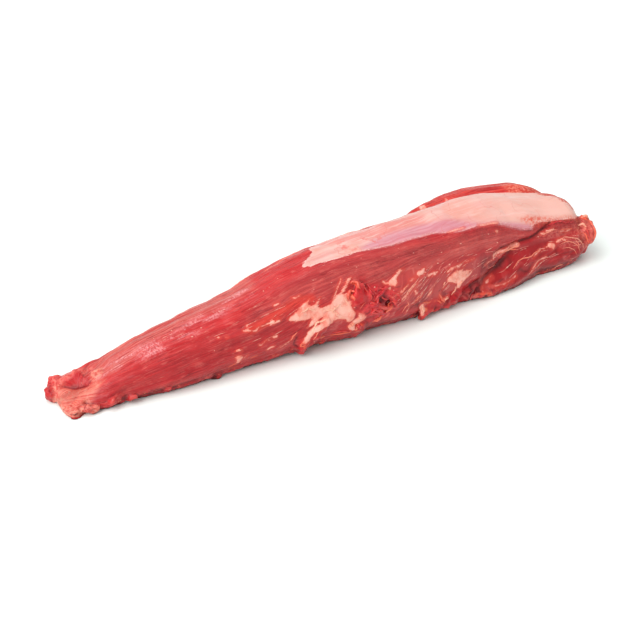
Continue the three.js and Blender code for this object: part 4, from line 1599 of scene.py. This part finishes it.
# %% Raw beef
relief_height = total(tree, streak, product(tree, fine, 0.6), product(tree, grit, 0.4))
relief_height = total(tree, relief_height, product(tree, dark_fibres, -0.25))
relief_height = total(tree, relief_height, product(tree, speckle, 0.15))
relief_height = total(tree, relief_height, product(tree, crosswise, read(tree, "redder_lit_top"), 0.3))
covered = maths(tree, "MAXIMUM", skin_mask, product(tree, fat_mask, 0.4))
depth = ramp(tree, covered, 0.0, 1.0, 1.0, 0.15, "LINEAR")
bump = make(tree, "ShaderNodeBump", {
    "Strength": depth, "Distance": 0.45 * MM, "Height": relief_height})
gloss = ramp(tree, blotch, 0.3, 0.7, 0.3, 0.48)
shader = make(tree, "ShaderNodeBsdfPrincipled", {
    "Base Color": colour,
    "Roughness": gloss,
    "Specular IOR Level": 0.22,
    "Subsurface Weight": 0.06,
    "Subsurface Radius": (1.0, 0.25, 0.15),
    "Subsurface Scale": 2 * MM,
    "Coat Weight": 0.22,
    "Coat Roughness": 0.14,
    "Normal": bump.outputs[0],
})
make(tree, "ShaderNodeOutputMaterial", {"Surface": shader.outputs[0]})
print("raw beef:", len(tree.nodes), "nodes")

# %% [markdown]
# Fat flecks, sinew threads and torn strands
#
# Tiny beads of fat and fine pale threads lie on the fibres, and strands of torn muscle curl
# round the hole. They are too small for the skin's mesh, so they are pieces of their own, half
# sunk in the meat. The beads could be placed one by one, but real ones follow no pattern, so
# a Geometry Nodes tree scatters them. The torn and dusky places get more of them, and the
# silverskin and the fat get none.

# %% Pale tissue
tissue.use_nodes = True
tree = tissue.node_tree
tree.nodes.clear()
place = vector_maths(tree, "SCALE", make(tree, "ShaderNodeTexCoord").outputs["Object"], 1 / MM)
mottle = streaky(tree, place, (0.35, 0.35, 0.35), 2.0)
colour = two_tone(tree, mottle, 0.4, 0.6, (206, 92, 78), (236, 168, 150))
bump = make(tree, "ShaderNodeBump", {"Strength": 0.4, "Distance": 0.2 * MM, "Height": mottle})
shader = make(tree, "ShaderNodeBsdfPrincipled", {
    "Base Color": colour, "Roughness": 0.4, "Coat Weight": 0.3, "Coat Roughness": 0.2,
    "Normal": bump.outputs[0]})
make(tree, "ShaderNodeOutputMaterial", {"Surface": shader.outputs[0]})
print("pale tissue:", len(tree.nodes), "nodes")


# %% Fat flecks
def stored(mesh, name):
    """The values that a mesh keeps under a name."""
    values = np.zeros(len(mesh.vertices), np.float32)
    mesh.attributes[name].data.foreach_get("value", values)
    return values


bare = (stored(meat, "silverskin") < -1) & (stored(meat, "fat") < -1) & (points[:, 2] > 3)
fleck_zone = stored(meat, "redder_lit_top") * 0.4 + stored(meat, "dusky") * 0.6 + stored(meat, "torn")
store(meat, "fleck_zone", np.where(bare, fleck_zone + 0.3, 0))

tree, start = geometry_tree("fat_flecks", {
    "Density": ("Float", 0.002),
    "Smallest": ("Float", 0.4),
    "Largest": ("Float", 0.9),
    "Seed": ("Int", 3),
})
density = product(tree, named(tree, "fleck_zone"), start["Density"])
scatter = make(tree, "GeometryNodeDistributePointsOnFaces", {
    "Mesh": start["Geometry"], "Density": density, "Seed": start["Seed"]})
bead = make(tree, "GeometryNodeMeshIcoSphere", {"Radius": 1.0, "Subdivisions": 1})
size = make(tree, "FunctionNodeRandomValue", {
    2: start["Smallest"], 3: start["Largest"], "Seed": start["Seed"]}, data_type="FLOAT")
scale = vector_maths(tree, "SCALE", (1.5, 0.8, 0.35), size.outputs[1])
placed = make(tree, "GeometryNodeInstanceOnPoints", {
    "Points": scatter.outputs["Points"], "Instance": bead.outputs[0],
    "Rotation": scatter.outputs["Rotation"], "Scale": scale})
finish_tree(tree, placed.outputs[0], tissue)

BEAD_FACES = 20
skin_piece = show("skin_piece", meat)
flecks = grown(skin_piece, tree, {"Density": 0.0035, "Smallest": 0.3, "Largest": 0.75, "Seed": 3})
discard(skin_piece)
print("fat flecks:", len(flecks.polygons) // BEAD_FACES)

# %% [markdown]
# Threads of sinew and strands of torn muscle have one shape at different sizes: a round
# section that swells in the middle, swept along a path. Curve objects with a bevel would do
# too. One small tree does it for both, from a chain of points on the skin, and its inputs set
# how thick the strand is and how many faces it has.

# %% Strand tree
strand_tree, start = geometry_tree("strands", {
    "Thickest": ("Float", 1.0),
    "Thinnest": ("Float", 0.1),
    "Steps": ("Int", 8),
    "Sides": ("Int", 4),
})
curve = make(strand_tree, "GeometryNodeMeshToCurve", {"Mesh": start["Geometry"]})
even = make(strand_tree, "GeometryNodeResampleCurve", {
    "Curve": curve.outputs[0], "Count": start["Steps"]})
share = make(strand_tree, "GeometryNodeSplineParameter").outputs["Factor"]
hump = maths(strand_tree, "SINE", maths(strand_tree, "MULTIPLY", share, math.pi))
width = maths(strand_tree, "MULTIPLY", hump, start["Thickest"])
width = maths(strand_tree, "ADD", width, start["Thinnest"])
section = make(strand_tree, "GeometryNodeCurvePrimitiveCircle", {
    "Resolution": start["Sides"], "Radius": 1.0})
strand = make(strand_tree, "GeometryNodeCurveToMesh", {
    "Curve": even.outputs[0], "Profile Curve": section.outputs[0],
    "Scale": width, "Fill Caps": True})
finish_tree(strand_tree, strand.outputs[0], tissue)
print("strand tree:", len(strand_tree.nodes), "nodes")

# %% Find places on the finished skin
FAR_OUT = 120  # millimetres from the middle of the muscle, well outside it
wrapped = BVHTree.FromPolygons([Vector(p) for p in points], faces)


def on_skin(x, degrees, lift=0.0):
    """The point of the skin at a place on the muscle, found from outside it, and lifted."""
    angle = math.radians(degrees)
    outwards = Vector((0, -math.cos(angle), math.sin(angle)))
    x = np.array(float(x))
    centre_z = (along(EYE, "top", x) + along(EYE, "bottom", x)) / 2
    centre = Vector((float(x), float(along(EYE, "y", x)), float(centre_z)))
    hit, _, _, _ = wrapped.ray_cast(centre + outwards * FAR_OUT, -outwards)
    return hit and hit + outwards * lift


print("top of the meat halfway along:", round(on_skin(0, 90).z, 1), "mm up")

# %% [markdown]
# Sinew threads lie along the fibres. Each starts at a random place in one of a few areas and
# then steps forward with the climb of the fibres there, so no thread crosses the grain. The
# random numbers have a fixed seed, so they fall alike in every run.

# %% Sinew threads
THREAD_AREAS = [
    # from x, to x, from degrees, to degrees, count
    (40, 150, -16, 22, 44),
    (150, 262, -26, 10, 34),
    (-140, -60, 2, 50, 10),
    (-210, -60, 60, 110, 6),
    (120, 230, 140, 190, 12),
    (-200, 60, 150, 200, 24),
]
THREAD_STEP = 1.6
DEGREE_LENGTH = 0.7  # millimetres round the muscle for each degree
THREAD_DRIFT = 0.12  # how much a thread may leave the climb of the fibres
rng = np.random.default_rng(29)
thread_paths = []
for x_from, x_to, low, high, count in THREAD_AREAS:
    for _ in range(count):
        x, degrees = rng.uniform(x_from, x_to), rng.uniform(low, high)
        drift = rng.normal(0, THREAD_DRIFT)
        path = []
        for _ in range(int(rng.uniform(5, 13))):
            hit = on_skin(x, degrees)
            if hit is not None and hit.z > 2:
                path.append(hit)
            climb = float(climb_at(x, degrees)) + drift
            run = THREAD_STEP / math.hypot(1, climb * DEGREE_LENGTH)
            x, degrees = x + run, degrees + run * climb
        if len(path) > 4:
            thread_paths.append(path)
thread_lines = path_object("thread_lines", thread_paths)
threads = grown(thread_lines, strand_tree, {
    "Thickest": 0.22, "Thinnest": 0.03, "Steps": 8, "Sides": 4})
discard(thread_lines)
print("sinew threads:", len(thread_paths))

# %% [markdown]
# The torn strands curl round the hole, and stray ones lie on the knob, the lobe and the lower
# edge. A random scatter wouldn't curl like that, so each strand is a short list of places on
# the muscle. It arches over the skin between its two ends, which are sunk in the meat.

# %% Torn strands
STRANDS = [
    # places along a strand, its thickness and arch in millimetres, and its colour, where
    # 0 is red, 1 is orange and 2 is cream
    ([(-2, 36), (0, 38), (3, 35), (2, 30), (4, 27)], 1.2, 1.2, 0.6),
    ([(-8, 17), (-8, 22), (-6, 26), (-4, 28), (-2, 26)], 1.4, 0.8, 0.6),
    ([(-4, 16), (-4, 20), (-5, 24)], 0.9, 0.8, 0.8),
    ([(9, 31), (9, 26), (11, 21), (10, 15)], 0.4, 0.6, 0.3),
    ([(13, 29), (15, 24), (17, 19), (20, 15), (23, 11)], 0.9, 0.8, 0.2),
    ([(14, 24), (14, 19), (17, 15), (18, 11)], 0.8, 0.8, 0.0),
    ([(36, 18), (33, 19), (29, 17), (25, 20)], 1.0, 1.0, 0.1),
    ([(31, 17), (27, 15), (23, 13), (20, 12), (18, 7)], 1.1, 1.4, 0.1),
    ([(21, 13), (21, 8), (18, 4), (13, 7), (10, 4)], 1.1, 1.2, 0.2),
    ([(10, 7), (14, 3), (18, 2), (21, 5)], 1.9, 0.4, 0.0),
    ([(17, 5), (22, 0), (27, -4), (32, -6), (37, -5)], 1.5, 0.9, 0.3),
    ([(27, -13), (30, -9), (33, -6), (37, -6)], 0.9, 1.5, 1.0),
    ([(28, -9), (31, -5), (33, -3), (36, -3)], 0.7, 1.6, 1.0),
    ([(13, -10), (14, -4), (16, -1), (20, 1), (25, -5)], 0.9, 1.2, 0.1),
    ([(33, 2), (37, -1), (43, -3)], 0.7, 0.7, 0.3),
    ([(33, 6), (35, 1), (36, -4)], 0.9, 0.6, 0.0),
    ([(17, -22), (21, -20), (26, -16)], 1.5, 0.6, 0.9),
    ([(15, 0), (20, -5), (26, -11), (34, -12)], 1.4, 0.7, 0.0),
    ([(12, -4), (18, -8), (24, -10)], 1.2, 0.6, 0.1),
    ([(8, 10), (4, 8), (1, 3)], 0.4, 0.4, 0.5),
    ([(24, 24), (21, 19), (19, 14)], 0.6, 0.8, 0.1),
    ([(21, -2), (24, -7), (24, -12)], 1.0, 1.0, 0.0),
    ([(38, 10), (42, 6), (45, 0), (44, -5)], 0.7, 0.5, 0.2),
    ([(12, 20), (14, 14), (13, 9)], 0.7, 0.6, 0.3),
    ([(24, 11), (27, 7), (31, 3)], 0.6, 1.0, 0.2),
    ([(40, 3), (37, 7), (33, 10)], 0.7, 0.8, 0.2),
    ([(238, 7), (245, 10), (253, 8), (260, 5), (267, -4), (269, -14)], 0.35, 0.2, 1.6),
    ([(240, 1), (248, 3), (255, 0), (261, -7), (263, -15)], 0.35, 0.2, 1.4),
    ([(243, -6), (250, -6), (257, -12), (259, -18)], 0.3, 0.2, 1.4),
    ([(258, 4), (262, -4), (263, -11)], 0.3, 0.2, 1.4),
    ([(179, -14), (185, -10), (194, -7), (203, -7), (210, -3), (217, -1)], 0.5, 0.4, 1.3),
    ([(219, 21), (223, 21), (230, 23), (237, 24)], 0.4, 0.2, 1.5),
    ([(242, 22), (249, 22), (259, 21)], 0.35, 0.2, 1.2),
    ([(166, 7), (174, 7), (182, 7), (190, 8), (193, 12)], 0.8, 0.5, 1.4),
    ([(173, 6), (183, 5), (191, 3)], 0.5, 0.4, 1.1),
    ([(228, 31), (239, 35), (247, 35), (251, 30)], 0.7, 0.5, 0.0),
    ([(262, 30), (255, 32), (247, 33)], 0.5, 0.4, 0.2),
    ([(234, -29), (239, -27), (245, -28)], 0.6, 0.3, 1.4),
    ([(266, 23), (271, 25), (273, 19)], 1.0, 0.5, 1.6),
    ([(272, 17), (272, 9), (274, -1)], 0.6, 0.4, 0.3),
    ([(269, 12), (271, 3), (273, -7)], 0.6, 0.3, 0.9),
    ([(279, 31), (280, 22), (280, 9), (278, -1), (277, -12)], 1.1, 0.6, 1.0),
    ([(274, 38), (278, 39), (280, 34)], 1.3, 0.7, 1.5),
    ([(-11, 22), (-10, 17), (-9, 12)], 0.35, 0.2, 2.0),
    ([(-27, 14), (-23, 8), (-20, 3)], 0.35, 0.2, 2.0),
    ([(-34, 15), (-24, 13), (-16, 17)], 0.5, 0.4, 2.0),
    ([(-48, -5), (-42, 4), (-32, 5)], 0.8, 0.4, 2.0),
    ([(-56, 24), (-48, 26), (-41, 19)], 0.5, 0.3, 2.0),
    ([(-38, -24), (-35, -23), (-31, -24)], 1.0, 0.4, 1.0),
    ([(-27, -24), (-21, -25), (-16, -25), (-12, -25), (-6, -26)], 0.7, 0.4, 1.0),
    ([(-27, -21), (-20, -21), (-11, -22), (-5, -23)], 0.7, 0.3, 0.2),
    ([(0, -17), (2, -20), (2, -22)], 1.8, 0.4, 0.0),
    ([(-9, -18), (-6, -15), (-3, -14)], 1.2, 0.4, 1.5),
    ([(-2, -23), (0, -20), (1, -16)], 0.7, 0.4, 1.4),
    ([(-55, -14), (-58, -17), (-57, -21), (-54, -18)], 0.8, 0.6, 1.0),
    ([(-42, -4), (-45, -10), (-47, -15)], 0.4, 0.3, 1.3),
    ([(-68, -8), (-64, -2), (-61, 2)], 0.4, 0.3, 1.2),
    ([(48, -2), (54, 7), (59, 11), (63, 13)], 0.35, 0.3, 1.6),
    ([(47, 7), (49, 10), (54, 14)], 0.35, 0.3, 1.4),
    ([(60, -11), (65, -7), (68, -5)], 0.35, 0.3, 1.2),
    ([(76, -8), (80, -6)], 0.5, 0.3, 1.8),
    ([(48, -20), (51, -12), (54, -11), (52, -6)], 0.4, 0.3, 1.3),
    ([(71, -17), (75, -18), (81, -21)], 0.7, 0.4, 0.8),
    ([(71, -20), (72, -26), (71, -29)], 1.0, 0.4, 1.8),
    ([(74, -27), (75, -25), (74, -24)], 0.6, 0.4, 1.2),
    ([(90, -13), (94, -22), (98, -25)], 0.8, 0.5, 1.1),
    ([(96, -23), (99, -21), (101, -22)], 0.7, 0.4, 1.7),
    ([(106, -22), (109, -18), (110, -13)], 0.6, 0.4, 1.6),
    ([(94, -3), (97, 0)], 0.5, 0.3, 1.6),
    ([(89, -21), (92, -24), (93, -25)], 0.6, 0.4, 1.0),
    ([(111, -10), (115, -7), (117, -5)], 0.8, 0.3, 1.6),
]
STRAND_POINTS = 9
WOBBLE = 0.25  # millimetres along the muscle
WOBBLE_DEGREES = 0.35
rng = np.random.default_rng(11)
strand_meshes, paleness = [], []
for plan, thickness, arch, pale_share in STRANDS:
    turns = np.array(plan, float)
    share = np.linspace(0, 1, len(plan))
    path = []
    for t in np.linspace(0, 1, STRAND_POINTS):
        x, degrees = np.interp(t, share, turns[:, 0]), np.interp(t, share, turns[:, 1])
        x, degrees = x + rng.normal(0, WOBBLE), degrees + rng.normal(0, WOBBLE_DEGREES)
        hit = on_skin(x, degrees, arch * math.sin(math.pi * t) - 0.3 * thickness)
        path += [] if hit is None else [hit]
    line = path_object("strand_line", [path])
    strand_meshes.append(arrays_of(grown(line, strand_tree, {
        "Thickest": thickness * 0.8, "Thinnest": thickness * 0.4, "Steps": 18, "Sides": 10})))
    paleness += [pale_share] * len(strand_meshes[-1][0])
    discard(line)
strands = joined("torn_strands", strand_meshes)
store(strands, "paleness", paleness)
print("torn strands:", len(STRANDS), "with", len(strands.polygons), "faces")

# %% [markdown]
# The torn strands are the same wet red as the hole, and some are orange or cream with fat. A
# material for each would do, but one is enough: it reads how pale each strand is from a
# number stored on its points.

# %% Torn muscle
raw_muscle = bpy.data.materials.new("torn_muscle")
raw_muscle.use_nodes = True
tree = raw_muscle.node_tree
tree.nodes.clear()
place = vector_maths(tree, "SCALE", make(tree, "ShaderNodeTexCoord").outputs["Object"], 1 / MM)
mottle = streaky(tree, place, (0.14, 0.14, 0.14), 3.0, 0.6)
ribs = streaky(tree, place, (0.6, 0.6, 0.6), 3.0)
colour = two_tone(tree, mottle, 0.42, 0.62, (180, 24, 38), (210, 58, 58))
colour = blend(tree, ramp(tree, read(tree, "paleness"), 0.0, 1.0), colour, linear(226, 100, 74))
colour = blend(tree, ramp(tree, read(tree, "paleness"), 1.0, 2.0), colour, linear(240, 176, 150))
colour = blend(tree, product(tree, ramp(tree, ribs, 0.5, 0.3), 0.5), colour, linear(150, 20, 28))
bump = make(tree, "ShaderNodeBump", {"Strength": 0.5, "Distance": 0.4 * MM, "Height": ribs})
shader = make(tree, "ShaderNodeBsdfPrincipled", {
    "Base Color": colour, "Roughness": 0.32, "Specular IOR Level": 0.3, "Coat Weight": 0.3,
    "Coat Roughness": 0.15, "Normal": bump.outputs[0]})
make(tree, "ShaderNodeOutputMaterial", {"Surface": shader.outputs[0]})
print("torn muscle:", len(tree.nodes), "nodes")

# %% [markdown]
# Finished pieces
#
# The meshes are moved from the stations' frame to the middle of the footprint and scaled to
# metres. The meat replaces the CAD solid. The flecks, threads and strands ride on the same
# body, since there is only one.


# %% Place the pieces
def finished(name, mesh, material):
    """A piece in metres, in the frame of the CAD model, with its finish."""
    moved_points, _ = arrays_of(mesh)
    moved_points = (moved_points - np.array([MIDDLE[0], MIDDLE[1], 0])) * MM
    set_points(mesh, moved_points)
    mesh.polygons.foreach_set("use_smooth", [True] * len(mesh.polygons))
    mesh.materials.clear()
    mesh.materials.append(material)
    piece = show(name, mesh)
    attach(piece, "root")
    return piece


tenderloin = finished("tenderloin_meat", meat, beef)
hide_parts("tenderloin")
finished("fat_flecks", flecks, tissue)
finished("sinew_threads", threads, tissue)
finished("torn_strands", strands, raw_muscle)
print("pieces placed")

# %% [markdown]
# Floor and light
#
# The photograph is a product shot on white: soft light from above and the left, and a faint
# contact shadow under the front. A studio with many lamps could be copied, but three lights
# are enough. A bright even world does most of it, a wide sun from the left and a little from
# the front gives the soft direction, and one large panel above puts wet highlights on the top.

# %% Floor
REACH = 12.0  # metres from the middle to each side
FLOOR_COLOUR = (0.875, 0.945, 0.912, 1)  # cancels the pink that the meat throws on the floor
FLOOR_DROP = 0.0002  # keeps the floor just below the meat's flat underside
floor_mesh = bpy.data.meshes.new("floor")
floor_mesh.from_pydata(
    [(-REACH, -REACH, 0), (REACH, -REACH, 0), (REACH, REACH, 0), (-REACH, REACH, 0)],
    [], [(0, 1, 2, 3)])
white = bpy.data.materials.new("white_floor")
white.use_nodes = True
shader = white.node_tree.nodes["Principled BSDF"]
shader.inputs["Base Color"].default_value = FLOOR_COLOUR
shader.inputs["Roughness"].default_value = 0.8
shader.inputs["Specular IOR Level"].default_value = 0.1
floor_mesh.materials.append(white)
floor = show("floor", floor_mesh)
floor.location.z = -FLOOR_DROP
print("floor:", 2 * REACH, "m wide")

# %% Light
WORLD_STRENGTH = 0.66
world = bpy.data.worlds.new("studio")
world.use_nodes = True
background = world.node_tree.nodes["Background"]
background.inputs["Color"].default_value = (1, 1, 1, 1)
background.inputs["Strength"].default_value = WORLD_STRENGTH
bpy.context.scene.world = world


def light(name, kind, at, energy, **options):
    """A light that points at the middle of the meat."""
    data = bpy.data.lights.new(name, kind)
    data.energy = energy
    for key, value in options.items():
        setattr(data, key, value)
    lamp = bpy.data.objects.new(name, data)
    lamp.location = at
    lamp.rotation_euler = Vector(at).to_track_quat("Z", "Y").to_euler()
    bpy.context.scene.collection.objects.link(lamp)


light("soft_sun", "SUN", (-1.45, -0.5, 1.25), 2.3, angle=math.radians(48))
light("top_panel", "AREA", (-0.35, 0.35, 1.3), 7, shape="RECTANGLE", size=1.2, size_y=0.8)
bpy.context.scene.view_settings.view_transform = "Standard"
print("lights: world, sun, panel")
